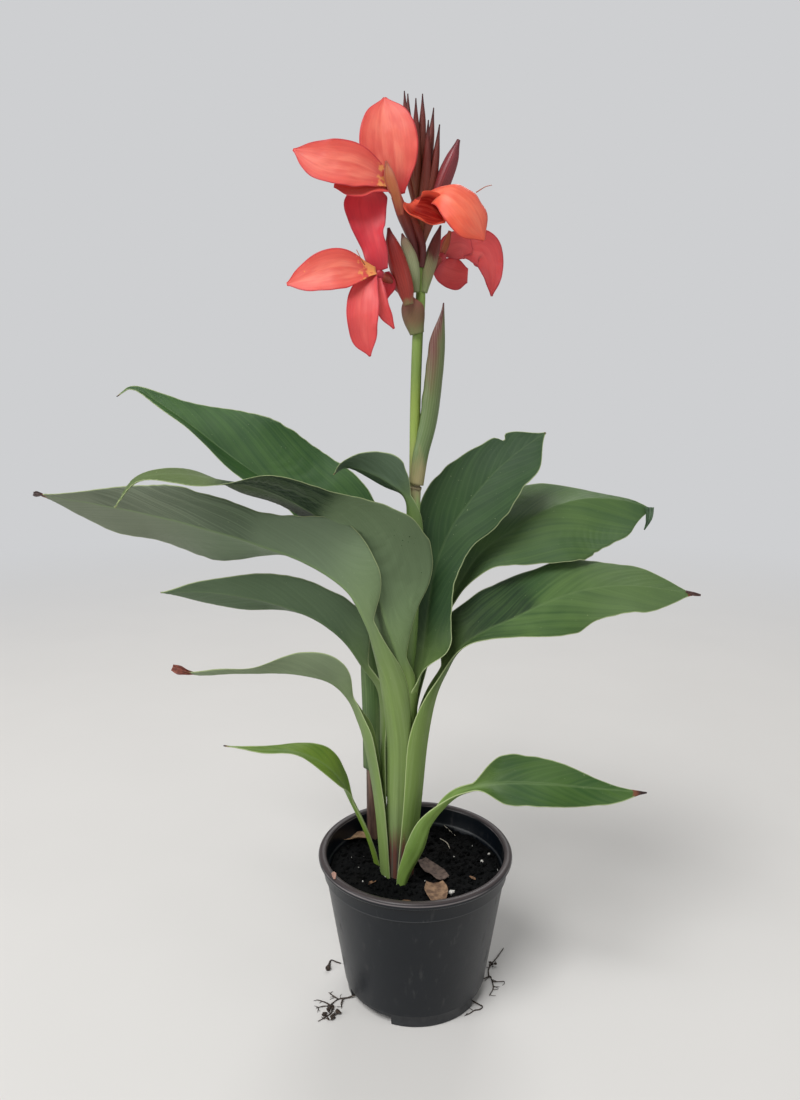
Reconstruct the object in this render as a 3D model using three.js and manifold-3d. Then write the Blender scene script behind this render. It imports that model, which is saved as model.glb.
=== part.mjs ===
// A potted canna lily: nursery pot, soil, two shoots, eleven leaves, a rolled spathe, four open flowers,
// a spike of buds, dry leaf scraps and the fine roots that come out of the pot's foot.
// Units are millimetres, +Z is up. The origin is the middle of the pot's underside, and -Y is the front.
import * as THREE from "three";
import { mergeVertices } from "three/addons/utils/BufferGeometryUtils.js";
import Module from "manifold-3d";

const wasm = await Module();
wasm.setup();

// ---------------------------------------------------------------- driving dimensions
const GAP = 0.3; // clearance between pieces that touch

const POT = {
  height: 152,
  rimRadius: 100,
  lipHeight: 7, // the rolled edge
  lipWidth: 8,
  collarRadius: 96, // wall just under the rolled edge
  stepDrop: 22, // from the rim down to the stacking step
  stepDepth: 2,
  footRadius: 71.5,
  footHeight: 13,
  footInset: 1.6,
  wall: 2,
  floor: 2.5,
  sides: 36,
};
const POT_STEP = POT.height - POT.stepDrop; // height of the stacking step
const WALL_TOP = POT.collarRadius - POT.stepDepth - 1.5; // the wall's outer radius just under that step
const FOOT_TOP = POT.footRadius + 1.2; // the foot's outer radius at its own top
const NOTCH = { count: 3, width: 47, first: 76.5, height: 9, innerRadius: 60 }; // angles in degrees
const DRAIN_HOLES = { count: 4, radius: 4, ring: 36 };

const STEM_FOOT = 100; // how deep the stems go into the soil, as a height
const SOIL = { top: 128, crown: 3, lump: 1.6, rings: 6, sides: 30, edgeGap: 0.9, holeFloor: STEM_FOOT - GAP };

const SHEATH = 1.3; // thickness of a leaf's sheath and stalk
const BLADE = 0.9; // thickness of a leaf's blade
const RIB = 1.3; // how far the midrib stands out under the blade
const PETAL = 0.9;

const COLOUR = {
  pot: 0x24262a,
  soil: 0x1d1815,
  blade: 0x3f6243,
  stalk: 0x86b63a,
  oldSheath: 0x5a4742,
  spathe: 0x7d7350,
  petal: 0xe0503f,
  calyx: 0x7a3a33,
  bract: 0x7c7a4e,
  bud: 0x6b2630,
  dryLeaf: 0x8a6a4c,
  root: 0x2b211b,
};

// ---------------------------------------------------------------- small helpers
const { degToRad, lerp, clamp, smoothstep } = THREE.MathUtils;
const ease = (t) => smoothstep(t, 0, 1);
const vec = (x, y, z) => new THREE.Vector3(x, y, z);

/** The value at t (0 to 1) of a smooth curve through numbers that are spaced evenly along a piece. */
function smoothly(values, t) {
  const spline = new THREE.SplineCurve(values.map((value, i) => new THREE.Vector2(i, value)));
  return spline.getPoint(t).y;
}

/** A smooth curve through points given as [x, y, z, ...]. */
function curveThrough(points) {
  return new THREE.CatmullRomCurve3(points.map(([x, y, z]) => vec(x, y, z)), false, "catmullrom", 0.5);
}

function toSolid(geometry) {
  const bare = geometry.clone();
  bare.deleteAttribute("normal");
  bare.deleteAttribute("uv");
  const merged = mergeVertices(bare, 1e-4);
  return new wasm.Manifold(
    new wasm.Mesh({
      numProp: 3,
      vertProperties: new Float32Array(merged.attributes.position.array),
      triVerts: new Uint32Array(merged.index.array),
    }),
  );
}

function toGeometry(solid) {
  const mesh = solid.getMesh();
  const geometry = new THREE.BufferGeometry();
  geometry.setAttribute("position", new THREE.BufferAttribute(new Float32Array(mesh.vertProperties), 3));
  geometry.setIndex(new THREE.BufferAttribute(new Uint32Array(mesh.triVerts), 1));
  geometry.computeVertexNormals();
  return geometry;
}

/** The largest body that is left when the tools are cut away. */
function cutAway(solid, tools) {
  const left = tools.reduce((rest, tool) => rest.subtract(tool), solid);
  return left.decompose().reduce((best, body) => (body.volume() > best.volume() ? body : best));
}

const joinAll = (solids) => solids.reduce((whole, solid) => whole.add(solid));

/** A closed sheet between two grids of points, the upper one on the side that the rows' face looks to. */
function sheetGeometry(upper, lower) {
  const rows = upper.length;
  const columns = upper[0].length;
  const points = [...upper.flat(), ...lower.flat()];
  const top = (i, j) => i * columns + j;
  const under = (i, j) => rows * columns + i * columns + j;
  const index = [];
  for (let i = 0; i < rows - 1; i += 1) {
    for (let j = 0; j < columns - 1; j += 1) {
      index.push(top(i, j), top(i + 1, j), top(i + 1, j + 1));
      index.push(top(i, j), top(i + 1, j + 1), top(i, j + 1));
      index.push(under(i, j), under(i + 1, j + 1), under(i + 1, j));
      index.push(under(i, j), under(i, j + 1), under(i + 1, j + 1));
    }
    const last = columns - 1;
    index.push(top(i, 0), under(i, 0), under(i + 1, 0));
    index.push(top(i, 0), under(i + 1, 0), top(i + 1, 0));
    index.push(top(i, last), under(i + 1, last), under(i, last));
    index.push(top(i, last), top(i + 1, last), under(i + 1, last));
  }
  const end = rows - 1;
  for (let j = 0; j < columns - 1; j += 1) {
    index.push(top(0, j), top(0, j + 1), under(0, j + 1));
    index.push(top(0, j), under(0, j + 1), under(0, j));
    index.push(top(end, j), under(end, j + 1), top(end, j + 1));
    index.push(top(end, j), under(end, j), under(end, j + 1));
  }
  const geometry = new THREE.BufferGeometry();
  geometry.setAttribute("position", new THREE.Float32BufferAttribute(points.flatMap((p) => p.toArray()), 3));
  geometry.setIndex(index);
  geometry.computeVertexNormals();
  return geometry;
}

/** Rows along stations of [x, y, z, and the direction that the piece's upper side faces]. */
function rowsAlong(stations, rowsPerSpan) {
  const path = curveThrough(stations);
  const facing = curveThrough(stations.map(([, , , x, y, z]) => [x, y, z]));
  const count = (stations.length - 1) * rowsPerSpan;
  const rows = [];
  let length = 0;
  for (let i = 0; i <= count; i += 1) {
    const centre = path.getPoint(i / count);
    const tangent = path.getTangent(i / count);
    const face = facing.getPoint(i / count).projectOnPlane(tangent).normalize();
    const across = vec().crossVectors(face, tangent);
    length += i > 0 ? centre.distanceTo(rows[i - 1].centre) : 0;
    rows.push({ centre, tangent, face, across, length });
  }
  return rows;
}

/** Offsets a grid of points to both sides, by up(i, j) and down(i, j), along the grid's own normal. */
function thickened(grid, up, down) {
  const rows = grid.length;
  const columns = grid[0].length;
  const offset = (amount) =>
    grid.map((row, i) =>
      row.map((point, j) => {
        const ahead = vec().subVectors(grid[Math.min(i + 1, rows - 1)][j], grid[Math.max(i - 1, 0)][j]);
        const aside = vec().subVectors(row[Math.min(j + 1, columns - 1)], row[Math.max(j - 1, 0)]);
        const normal = ahead.cross(aside).normalize();
        return point.clone().addScaledVector(normal, amount(i, j));
      }),
    );
  return sheetGeometry(offset(up), offset((i, j) => -down(i, j)));
}

/** A round piece turned from [distance along, radius] pairs and bent along a curve. */
function turnedAlong(points, radii, { sides = 8, flatten = 1, extra = 0 } = {}) {
  const path = curveThrough(points);
  const profile = [new THREE.Vector2(0, 0)];
  radii.forEach(([place, radius]) => profile.push(new THREE.Vector2(radius + extra, place)));
  profile.push(new THREE.Vector2(0, 1));
  const geometry = new THREE.LatheGeometry(profile, sides);
  const position = geometry.attributes.position;
  const side = vec(0, 1, 0);
  for (let i = 0; i < position.count; i += 1) {
    const place = position.getY(i);
    const tangent = path.getTangent(place);
    const first = vec().crossVectors(side, tangent).normalize();
    const second = vec().crossVectors(first, tangent);
    const point = path
      .getPoint(place)
      .addScaledVector(first, position.getX(i))
      .addScaledVector(second, position.getZ(i) * flatten);
    position.setXYZ(i, point.x, point.y, point.z);
  }
  return geometry;
}

// ---------------------------------------------------------------- pot
function potSolid() {
  const p = POT;
  const lipFoot = p.height - p.lipHeight;
  const profile = [
    [0, 0],
    [p.footRadius, 0],
    [FOOT_TOP, p.footHeight],
    [FOOT_TOP + p.footInset, p.footHeight + 0.8],
    [WALL_TOP, POT_STEP - 1.2],
    [WALL_TOP + p.stepDepth, POT_STEP],
    [p.collarRadius, lipFoot],
    [p.rimRadius - 0.8, lipFoot + 0.3],
    [p.rimRadius, lipFoot + 2],
    [p.rimRadius - 0.4, p.height - 1.6],
    [p.rimRadius - 2.2, p.height],
    [p.rimRadius - p.lipWidth + 2, p.height],
    [p.rimRadius - p.lipWidth, p.height - 1.5],
    [p.collarRadius - p.wall - 2.6, lipFoot - 1],
    [WALL_TOP + p.stepDepth - p.wall - 0.6, POT_STEP + 1],
    [WALL_TOP - p.wall, POT_STEP - 1],
    [FOOT_TOP + p.footInset - p.wall, p.footHeight],
    [p.footRadius - p.wall, p.floor + 1.5],
    [p.footRadius - p.wall - 2, p.floor],
    [0, p.floor],
  ].map(([radius, height]) => new THREE.Vector2(radius, height));
  const shell = new THREE.LatheGeometry(profile, p.sides).rotateX(Math.PI / 2);
  return cutAway(toSolid(shell), [...footNotches(), ...drainHoles()]);
}

/** Arc-shaped cutters through the foot of the wall and the floor's edge. */
function footNotches() {
  const cutters = [];
  for (let k = 0; k < NOTCH.count; k += 1) {
    const middle = degToRad(-90 + NOTCH.first + (k * 360) / NOTCH.count);
    const half = degToRad(NOTCH.width / 2);
    const outline = new THREE.Shape();
    outline.absarc(0, 0, POT.footRadius + 10, middle - half, middle + half, false);
    outline.absarc(0, 0, NOTCH.innerRadius, middle + half, middle - half, true);
    const cutter = new THREE.ExtrudeGeometry(outline, {
      depth: NOTCH.height + 1,
      bevelEnabled: false,
      curveSegments: 6,
    });
    cutters.push(toSolid(cutter.translate(0, 0, -1)));
  }
  return cutters;
}

function drainHoles() {
  const cutters = [];
  for (let k = 0; k < DRAIN_HOLES.count; k += 1) {
    const angle = (k * 2 * Math.PI) / DRAIN_HOLES.count;
    const hole = new THREE.CylinderGeometry(DRAIN_HOLES.radius, DRAIN_HOLES.radius, 3 * POT.floor, 10);
    hole.rotateX(Math.PI / 2);
    hole.translate(DRAIN_HOLES.ring * Math.cos(angle), DRAIN_HOLES.ring * Math.sin(angle), POT.floor / 2);
    cutters.push(toSolid(hole));
  }
  return cutters;
}

// ---------------------------------------------------------------- soil
/** Height of the soil's lumpy surface. */
function soilHeight(x, y) {
  const middle = 1 - Math.hypot(x, y) / POT.rimRadius;
  const coarse = Math.sin(x / 9 + 1.3) * Math.cos(y / 8 - 0.4);
  const fine = Math.sin((x + y) / 4.3) * Math.sin((x - 1.7 * y) / 5.1 + 2);
  return SOIL.top + SOIL.crown * (middle - 0.5) + SOIL.lump * (coarse + 0.6 * fine);
}

function soilSolid(extra) {
  const inside = (radius) => radius - POT.wall - SOIL.edgeGap + extra;
  const bottom = POT.floor + GAP - extra;
  const edge = inside(WALL_TOP);
  const profile = [
    new THREE.Vector2(0, bottom),
    new THREE.Vector2(NOTCH.innerRadius - 3, bottom),
    new THREE.Vector2(inside(FOOT_TOP), NOTCH.height + 3),
    new THREE.Vector2(edge, POT_STEP - 5),
  ];
  for (let ring = 0; ring <= SOIL.rings; ring += 1) {
    profile.push(new THREE.Vector2(edge * (1 - ring / SOIL.rings), SOIL.top));
  }
  const plug = new THREE.LatheGeometry(profile, SOIL.sides).rotateX(Math.PI / 2);
  const position = plug.attributes.position;
  for (let i = 0; i < position.count; i += 1) {
    if (position.getZ(i) > SOIL.top - 0.5) {
      position.setZ(i, soilHeight(position.getX(i), position.getY(i)) + extra);
    }
  }
  return cutAway(toSolid(plug), stemHoles());
}

// Plain holes that the stems stand in: middle, half sizes, and how far the hole leans over its height.
const HOLES = [
  { x: -19.5, y: -12, halfX: 18.4, halfY: 15.8, leanX: 1, leanY: 0 },
  { x: -12.5, y: -29, halfX: 8.5, halfY: 8.5, leanX: 4, leanY: -1 },
  { x: -36.5, y: 8, halfX: 6.5, halfY: 7, leanX: -3, leanY: -2 },
  { x: -45.5, y: 61, halfX: 8.5, halfY: 8.5, leanX: 1, leanY: -2 },
];

function stemHoles() {
  const height = SOIL.top + 10 - SOIL.holeFloor;
  return HOLES.map(({ x, y, halfX, halfY, leanX, leanY }) => {
    const hole = new THREE.CylinderGeometry(1, 1, height, 16).rotateX(Math.PI / 2).scale(halfX, halfY, 1);
    const lean = new THREE.Matrix4().makeShear(0, 0, 0, 0, leanX / height, leanY / height);
    hole.applyMatrix4(lean);
    return toSolid(hole.translate(x, y, SOIL.holeFloor + height / 2));
  });
}

// ---------------------------------------------------------------- stems
// The main shoot: [x, y, z] of its middle, then its radius along X there.
const MAIN_SHOOT = [
  [-19, -10, STEM_FOOT, 9],
  [-18, -10, 128, 9.6],
  [-17, -8, 206, 11],
  [-15, -6, 271, 11],
  [-9, -6, 335, 7.6],
  [-5, -6, 400, 7.2],
  [-3.5, -6, 470, 6.2],
  [-2.3, -6, 519, 6.2],
  [-2.1, -6, 526, 6.9],
  [-2, -6, 533, 5.2],
  [-1.5, -6, 600, 4.9],
  [0.4, -6, 664, 4.9],
  [3, -6, 700, 4.4],
  [2, -6, 736, 3.6],
];
const OLD_SHOOT = [
  [-46, 61.5, STEM_FOOT, 6.4],
  [-45.5, 60, 128, 7],
  [-45.5, 55, 200, 7],
  [-46, 49, 270, 6.3],
  [-46.5, 46, 320, 4.5],
  [-47, 45, 338, 2.5],
];

function stemSolid(points, { sides, flatten = 1, extra = 0 }) {
  const last = points.length - 1;
  const radii = points.map(([, , , radius], i) => [i / last, radius]);
  return toSolid(turnedAlong(points, radii, { sides, flatten, extra }));
}

// ---------------------------------------------------------------- leaves
// Each leaf is one strip from its foot in the soil or on the shoot to its tip. Its stations give the middle of
// the strip and the direction that its upper side faces. "sheath" and "stalk" are the radii of their curl, and
// "wrap" is how far each half curls round. Blades have half widths to the left and right of the midrib, seen
// from above with the tip pointing away, and a fold at the midrib.
const LEAVES = {
  leaf_back_left: {
    stations: [
      [-54, 54, 215, 0.9, 0.2, 0],
      [-54, 46, 280, 0.9, 0.1, 0],
      [-55, 42, 345, 0.9, 0.1, 0.2],
      [-50, 44, 388, 0.6, -0.5, 0.5],
      [-58, 54, 432, 0.4, -0.7, 0.5],
      [-90, 66, 478, 0.3, -0.65, 0.65],
      [-134, 78, 508, 0.3, -0.6, 0.7],
      [-182, 88, 540, 0.25, -0.6, 0.7],
      [-232, 98, 577, 0.25, -0.6, 0.7],
      [-274, 105, 606, 0.2, -0.6, 0.7],
      [-302, 108, 621, 0, -0.5, 0.8],
      [-320, 109, 613, -0.5, -0.4, 0.7],
    ],
    sheathEnd: 2,
    bladeStart: 3,
    sheath: { foot: 11, top: 11, wrap: 120 },
    stalk: { radius: 9.5, wrap: 60 },
    left: [40, 48, 43, 26, 8],
    right: [42, 60, 62, 46, 16],
    fold: [16, 28, 34, 26, 10],
    cup: 6,
    wave: { height: 4, count: 3, start: 0.1 },
  },
  leaf_front_long: {
    stations: [
      [-15, -21, 262, 0, 1, 0],
      [-13, -22, 305, 0, 1, 0.1],
      [-13, -24, 340, 0.2, 1, 0.2],
      [-17, -28, 363, 0.3, 0.9, 0.3],
      [-28, -32, 398, 0.3, 0.9, 0.3],
      [-41, -34, 436, 0.3, 0.85, 0.35],
      [-64, -36, 477, 0.35, 0.7, 0.55],
      [-99, -38, 508, 0.35, 0.5, 0.75],
      [-143, -46, 530, 0.2, 0.3, 0.9],
      [-178, -54, 538, 0.1, 0, 0.95],
      [-212, -59, 543, 0, -0.2, 0.95],
      [-245, -66, 539, -0.2, -0.3, 0.9],
      [-265, -72, 515, -0.6, -0.3, 0.6],
    ],
    sheathEnd: 1,
    bladeStart: 3,
    sheath: { foot: 14.5, top: 14.5, wrap: 80 },
    stalk: { radius: 8, wrap: 60 },
    left: [30, 62, 62, 48, 48, 48, 31, 18, 9],
    right: [38, 62, 75, 74, 62, 47, 33, 21, 10],
    fold: [44, 34, 5, -10, 0],
    cup: 8,
    wave: { height: 4, count: 3, start: 0.35 },
  },
  leaf_left_upper: {
    stations: [
      [-20, -22, STEM_FOOT, 0.2, 1, 0],
      [-20, -23, 128, 0.2, 1, 0],
      [-19, -23, 206, 0.2, 1, 0],
      [-18, -25, 271, 0.2, 1, 0],
      [-25, -29, 330, 0.4, 1, 0.1],
      [-37, -33, 370, 0.6, 0.8, 0.3],
      [-47, -37, 401, 0.6, 0.7, 0.4],
      [-65, -37, 433, 0.5, 0.65, 0.55],
      [-103, -29, 457, 0.3, 0.7, 0.65],
      [-149, -21, 473, 0.15, 0.8, 0.6],
      [-206, -12, 489, 0.1, 0.85, 0.55],
      [-256, -4, 500, 0.1, 0.85, 0.55],
      [-304, 0, 509, 0, 0.8, 0.6],
      [-344, 3, 515, 0, 0.7, 0.7],
      [-368, 5, 519, -0.2, 0.6, 0.8],
    ],
    sheathEnd: 4,
    bladeStart: 6,
    sheath: { foot: 10, top: 14.5, wrap: 75 },
    stalk: { radius: 7, wrap: 65 },
    left: [39, 56, 41, 30, 38, 43, 30, 20, 11],
    right: [22, 38, 30, 35, 47, 50, 38, 35, 26],
    fold: [40, 30, 8, 2, 0],
    cup: 8,
    wave: { height: 5, count: 3, start: 0 },
  },
  leaf_left_middle: {
    stations: [
      [-33, -2, 206, 1, -0.2, 0],
      [-34, 1, 262, 1, -0.2, 0],
      [-36, 7, 316, 1, 0.1, 0.3],
      [-52, 8, 343, 0.7, 0.4, 0.5],
      [-70, 10, 368, 0.5, 0.55, 0.6],
      [-97, 12, 390, 0.3, 0.7, 0.65],
      [-131, 14, 404, 0.1, 0.8, 0.6],
      [-174, 14, 415, 0, 0.85, 0.5],
      [-214, 14, 420, 0, 0.85, 0.5],
      [-255, 14, 419, 0, 0.7, 0.7],
    ],
    sheathEnd: 1,
    bladeStart: 3,
    sheath: { foot: 13, top: 14, wrap: 55 },
    stalk: { radius: 7, wrap: 65 },
    left: [38, 39, 32, 24, 13],
    right: [16, 18, 16, 22, 20],
    fold: [34, 24, 8, 2],
    cup: 10,
    wave: { height: 3, count: 2, start: 0.2 },
  },
  leaf_left_lower: {
    stations: [
      [-33, -11, STEM_FOOT, 1, 0, 0],
      [-34, -11, 128, 1, 0, 0],
      [-40, -10, 206, 1, 0, 0],
      [-50, -11, 270, 1, 0, 0],
      [-57, -12, 296, 1, 0.1, 0.2],
      [-66, -14, 318, 0.8, 0.3, 0.5],
      [-82, -18, 336, 0.5, 0.5, 0.7],
      [-104, -23, 345, 0.2, 0.6, 0.8],
      [-135, -28, 350, 0, 0.6, 0.8],
      [-178, -34, 351, 0, 0.6, 0.8],
      [-210, -38, 352, 0, 0.5, 0.9],
      [-231, -40, 357, 0.1, 0.4, 0.9],
    ],
    sheathEnd: 3,
    bladeStart: 5,
    sheath: { foot: 11, top: 14, wrap: 72 },
    stalk: { radius: 7, wrap: 65 },
    left: [30, 26, 16, 9, 5],
    right: [24, 16, 8, 6, 5],
    fold: [34, 24, 10, 4],
    cup: 10,
    wave: { height: 3, count: 2, start: 0.6 },
  },
  leaf_left_small: {
    stations: [
      [-38, 8, STEM_FOOT, 0.9, 0.3, 0.2],
      [-41, 6, 128, 0.9, 0.3, 0.2],
      [-50, -2, 167, 0.9, 0.2, 0.3],
      [-65, -12, 209, 0.9, 0.1, 0.3],
      [-76, -16, 233, 0.8, -0.2, 0.5],
      [-94, -20, 254, 0.4, -0.3, 0.8],
      [-119, -24, 267, 0, -0.3, 0.9],
      [-153, -28, 271, 0, -0.2, 0.95],
      [-188, -30, 276, 0, -0.1, 0.95],
    ],
    sheathEnd: 1,
    bladeStart: 3,
    sheath: { foot: 3.6, top: 3.8, wrap: 80 },
    stalk: { radius: 2.9, wrap: 75 },
    left: [12, 12, 9, 6, 3],
    right: [14, 18, 14, 8, 3],
    fold: [12, 6, 2],
    cup: 10,
    wave: { height: 2, count: 2, start: 0.2 },
  },
  leaf_right_upright: {
    stations: [
      [-6, -15, 268, -0.7, 0.7, 0],
      [-2.5, -15, 310, -0.8, 0.6, 0],
      [3, -14, 342, -0.8, -0.4, 0.1],
      [8, -9, 370, -0.5, -0.85, 0.15],
      [12, -4, 407, -0.3, -0.95, 0.2],
      [19, 2, 447, -0.2, -0.95, 0.2],
      [34, 8, 484, -0.2, -0.95, 0.25],
      [55, 13, 514, -0.2, -0.9, 0.3],
      [78, 18, 540, -0.2, -0.9, 0.35],
      [102, 22, 560, -0.2, -0.85, 0.4],
      [127, 26, 577, -0.2, -0.8, 0.4],
    ],
    sheathEnd: 1,
    bladeStart: 2,
    sheath: { foot: 12.5, top: 12.5, wrap: 50 },
    stalk: { radius: 8, wrap: 60 },
    left: [19, 22, 26, 31, 35, 41, 39, 31, 22],
    right: [36, 30, 25, 25, 28, 36, 38, 33, 28],
    fold: [24, 12, 4, 0],
    cup: 8,
    wave: { height: 3, count: 2, start: 0.2 },
  },
  leaf_right_upper: {
    stations: [
      [-5.5, 2.5, 268, -0.75, -0.66, 0],
      [-2, 3, 310, -0.7, -0.7, 0],
      [6, 3, 343, -0.6, -0.7, 0.2],
      [18, 9, 378, -0.6, -0.7, 0.25],
      [31, 14, 403, -0.5, -0.8, 0.3],
      [46, 19, 429, -0.35, -0.8, 0.4],
      [66, 24, 457, -0.3, -0.8, 0.5],
      [98, 30, 480, -0.2, -0.75, 0.6],
      [131, 36, 499, -0.1, -0.7, 0.7],
      [163, 41, 509, 0, -0.65, 0.75],
      [192, 44, 510, 0.05, -0.65, 0.75],
      [220, 47, 506, 0.1, -0.6, 0.75],
      [243, 48, 498, 0.2, -0.6, 0.7],
    ],
    sheathEnd: 1,
    bladeStart: 4,
    sheath: { foot: 12.5, top: 12.5, wrap: 50 },
    stalk: { radius: 7, wrap: 60 },
    left: [12, 26, 38, 47, 53, 46, 25, 13, 6],
    right: [10, 20, 32, 44, 58, 62, 58, 51, 38],
    fold: [26, 10, -16, -22, -10],
    cup: 6,
    wave: { height: 3, count: 3, start: 0.3 },
  },
  leaf_right_middle: {
    stations: [
      [-5, -14, STEM_FOOT, -1, 0.2, 0],
      [-4, -14, 128, -1, 0.2, 0],
      [4, -12, 206, -1, 0.2, 0],
      [10, -11, 271, -1, 0.2, 0],
      [18, -13, 318, -0.9, 0.1, 0.3],
      [29, -17, 348, -0.8, -0.1, 0.5],
      [42, -19, 371, -0.6, -0.4, 0.7],
      [68, -18, 389, -0.5, -0.5, 0.7],
      [95, -15, 401, -0.3, -0.6, 0.7],
      [123, -12, 414, -0.2, -0.65, 0.7],
      [158, -10, 426, 0, -0.65, 0.7],
      [200, -8, 431, 0.1, -0.6, 0.75],
      [240, -6, 427, 0.2, -0.5, 0.8],
      [273, -4, 421, 0.2, -0.4, 0.9],
    ],
    sheathEnd: 3,
    bladeStart: 5,
    sheath: { foot: 12, top: 17, wrap: 85 },
    stalk: { radius: 8, wrap: 65 },
    left: [36, 42, 46, 47, 41, 39, 34, 28, 14],
    right: [7, 13, 22, 38, 41, 32, 32, 32, 18],
    fold: [14, 2, -8, -8, 0],
    cup: 6,
    wave: { height: 4, count: 3, start: 0.6 },
  },
  leaf_right_low: {
    stations: [
      [-16, -31, STEM_FOOT, -0.4, 0.9, 0.2],
      [-11, -33, 135, -0.4, 0.9, 0.2],
      [3, -37, 168, -0.5, 0.8, 0.3],
      [14, -37, 198, -0.6, 0.6, 0.4],
      [35, -40, 226, -0.6, 0, 0.7],
      [56, -44, 239, -0.3, -0.6, 0.7],
      [84, -48, 246, 0, -0.8, 0.6],
      [123, -52, 247, 0, -0.8, 0.6],
      [175, -54, 243, 0.1, -0.8, 0.6],
      [219, -56, 240, 0.1, -0.6, 0.7],
    ],
    sheathEnd: 2,
    bladeStart: 5,
    sheath: { foot: 1.5, top: 12, wrap: 75 },
    stalk: { radius: 4, wrap: 75 },
    left: [25, 26, 21, 12, 4],
    right: [20, 22, 21, 17, 12],
    fold: [6, 0, -4, 0],
    cup: 6,
    wave: { height: 2, count: 2, start: 0.1 },
  },
  leaf_top_small: {
    stations: [
      [-1, -13, 462, 0, 1, 0],
      [-3, -14, 492, 0.2, 0.9, 0],
      [-10, -15, 518, 0.5, 0.7, 0.4],
      [-26, -16, 532, 0.3, 0.7, 0.6],
      [-41, -17, 540, 0.1, 0.7, 0.7],
      [-57, -18, 546, -0.1, 0.6, 0.8],
      [-69, -18, 546, -0.3, 0.4, 0.8],
      [-78, -18, 539, -0.5, 0.3, 0.8],
    ],
    sheathEnd: 1,
    bladeStart: 2,
    sheath: { foot: 8, top: 8, wrap: 70 },
    stalk: { radius: 5, wrap: 60 },
    left: [18, 27, 26, 20, 9],
    right: [12, 16, 14, 11, 6],
    fold: [20, 14, 4],
    cup: 10,
    wave: { height: 1.5, count: 1, start: 0.2 },
  },
};
const LEAF_COLUMNS = [-1, -0.55, -0.09, 0, 0.09, 0.55, 1]; // across, from one edge to the other
const LEAF_ROWS = 2; // rows in each span between two stations
const TIP = 0.7; // half width at the very tip

/** A point across a strip at s (-1 to 1), where each half of the given width is folded up and curls round. */
function acrossStrip(row, s, { width, wrap, fold }, lift = 0) {
  const curl = degToRad(wrap);
  const bend = degToRad(fold);
  const reach = bend + curl * Math.abs(s);
  const out = (width * (Math.sin(reach) - Math.sin(bend))) / curl;
  const up = (width * (Math.cos(bend) - Math.cos(reach))) / curl;
  return row.centre
    .clone()
    .addScaledVector(row.across, Math.sign(s) * out)
    .addScaledVector(row.face, up + lift);
}

/** How far along its length each row is, counted from row `from`: 0 before it, 1 at the tip. */
function placesFrom(rows, from) {
  const start = rows[from].length;
  const whole = rows[rows.length - 1].length - start;
  return rows.map((row) => clamp((row.length - start) / whole, 0, 1));
}

/** Height of the waves along an edge, at t along the blade and s across it. */
function waveHeight({ height, count, start }, t, s) {
  const turns = count * t + start + (s > 0 ? 0 : 0.37);
  return height * s ** 2 * Math.sin(2 * Math.PI * turns) * Math.sin(Math.PI * t);
}

/** Half width, curl and fold of a leaf's left or right half at one row. */
function leafSection(leaf, widths, place, bladePlace) {
  const { sheath, stalk, sheathEnd, bladeStart } = leaf;
  const inSheath = place / sheathEnd;
  const inStalk = (place - sheathEnd) / (bladeStart - sheathEnd);
  const wide = (radius, wrap) => radius * degToRad(wrap);
  const stalkWidth = wide(stalk.radius, stalk.wrap);
  if (place <= sheathEnd) {
    return { width: wide(lerp(sheath.foot, sheath.top, inSheath), sheath.wrap), wrap: sheath.wrap, fold: 0 };
  }
  if (place <= bladeStart) {
    const t = ease(inStalk);
    return {
      width: lerp(wide(sheath.top, sheath.wrap), stalkWidth, t),
      wrap: lerp(sheath.wrap, stalk.wrap, t),
      fold: 0,
    };
  }
  const opened = ease(bladePlace * 5);
  return {
    width: smoothly([stalkWidth, ...widths, TIP], bladePlace),
    wrap: lerp(stalk.wrap, leaf.cup, opened),
    fold: smoothly(leaf.fold, bladePlace) * opened,
  };
}

function leafSolid(leaf, extra) {
  const rows = rowsAlong(leaf.stations, LEAF_ROWS);
  const places = placesFrom(rows, leaf.bladeStart * LEAF_ROWS);
  const grid = rows.map((row, i) =>
    LEAF_COLUMNS.map((s) => {
      const section = leafSection(leaf, s > 0 ? leaf.left : leaf.right, i / LEAF_ROWS, places[i]);
      section.width += extra;
      return acrossStrip(row, s, section, waveHeight(leaf.wave, places[i], s));
    }),
  );
  const half = (i) => lerp(SHEATH, BLADE, ease(places[i] * 4)) / 2 + extra;
  const rib = (i, j) => (LEAF_COLUMNS[j] === 0 ? RIB * (1 - places[i]) : 0);
  return toSolid(thickened(grid, half, (i, j) => half(i) + rib(i, j)));
}

// ---------------------------------------------------------------- petals, bracts and the spathe
const PETAL_COLUMNS = [-1, -0.5, 0, 0.5, 1];
const NO_WAVE = { height: 0, count: 0, start: 0 };

/** A thin strip with the half widths and curls given along it. */
function stripSolid({ stations, half, wrap = [12, 12], fold = [0, 0], wave = NO_WAVE, thick = PETAL }, extra) {
  const rows = rowsAlong(stations, 2);
  const places = placesFrom(rows, 0);
  const grid = rows.map((row, i) => {
    const t = places[i];
    const section = { width: smoothly(half, t) + extra, wrap: smoothly(wrap, t), fold: smoothly(fold, t) };
    return PETAL_COLUMNS.map((s) => acrossStrip(row, s, section, waveHeight(wave, t, s)));
  });
  const side = () => thick / 2 + extra;
  return toSolid(thickened(grid, side, side));
}

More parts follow.
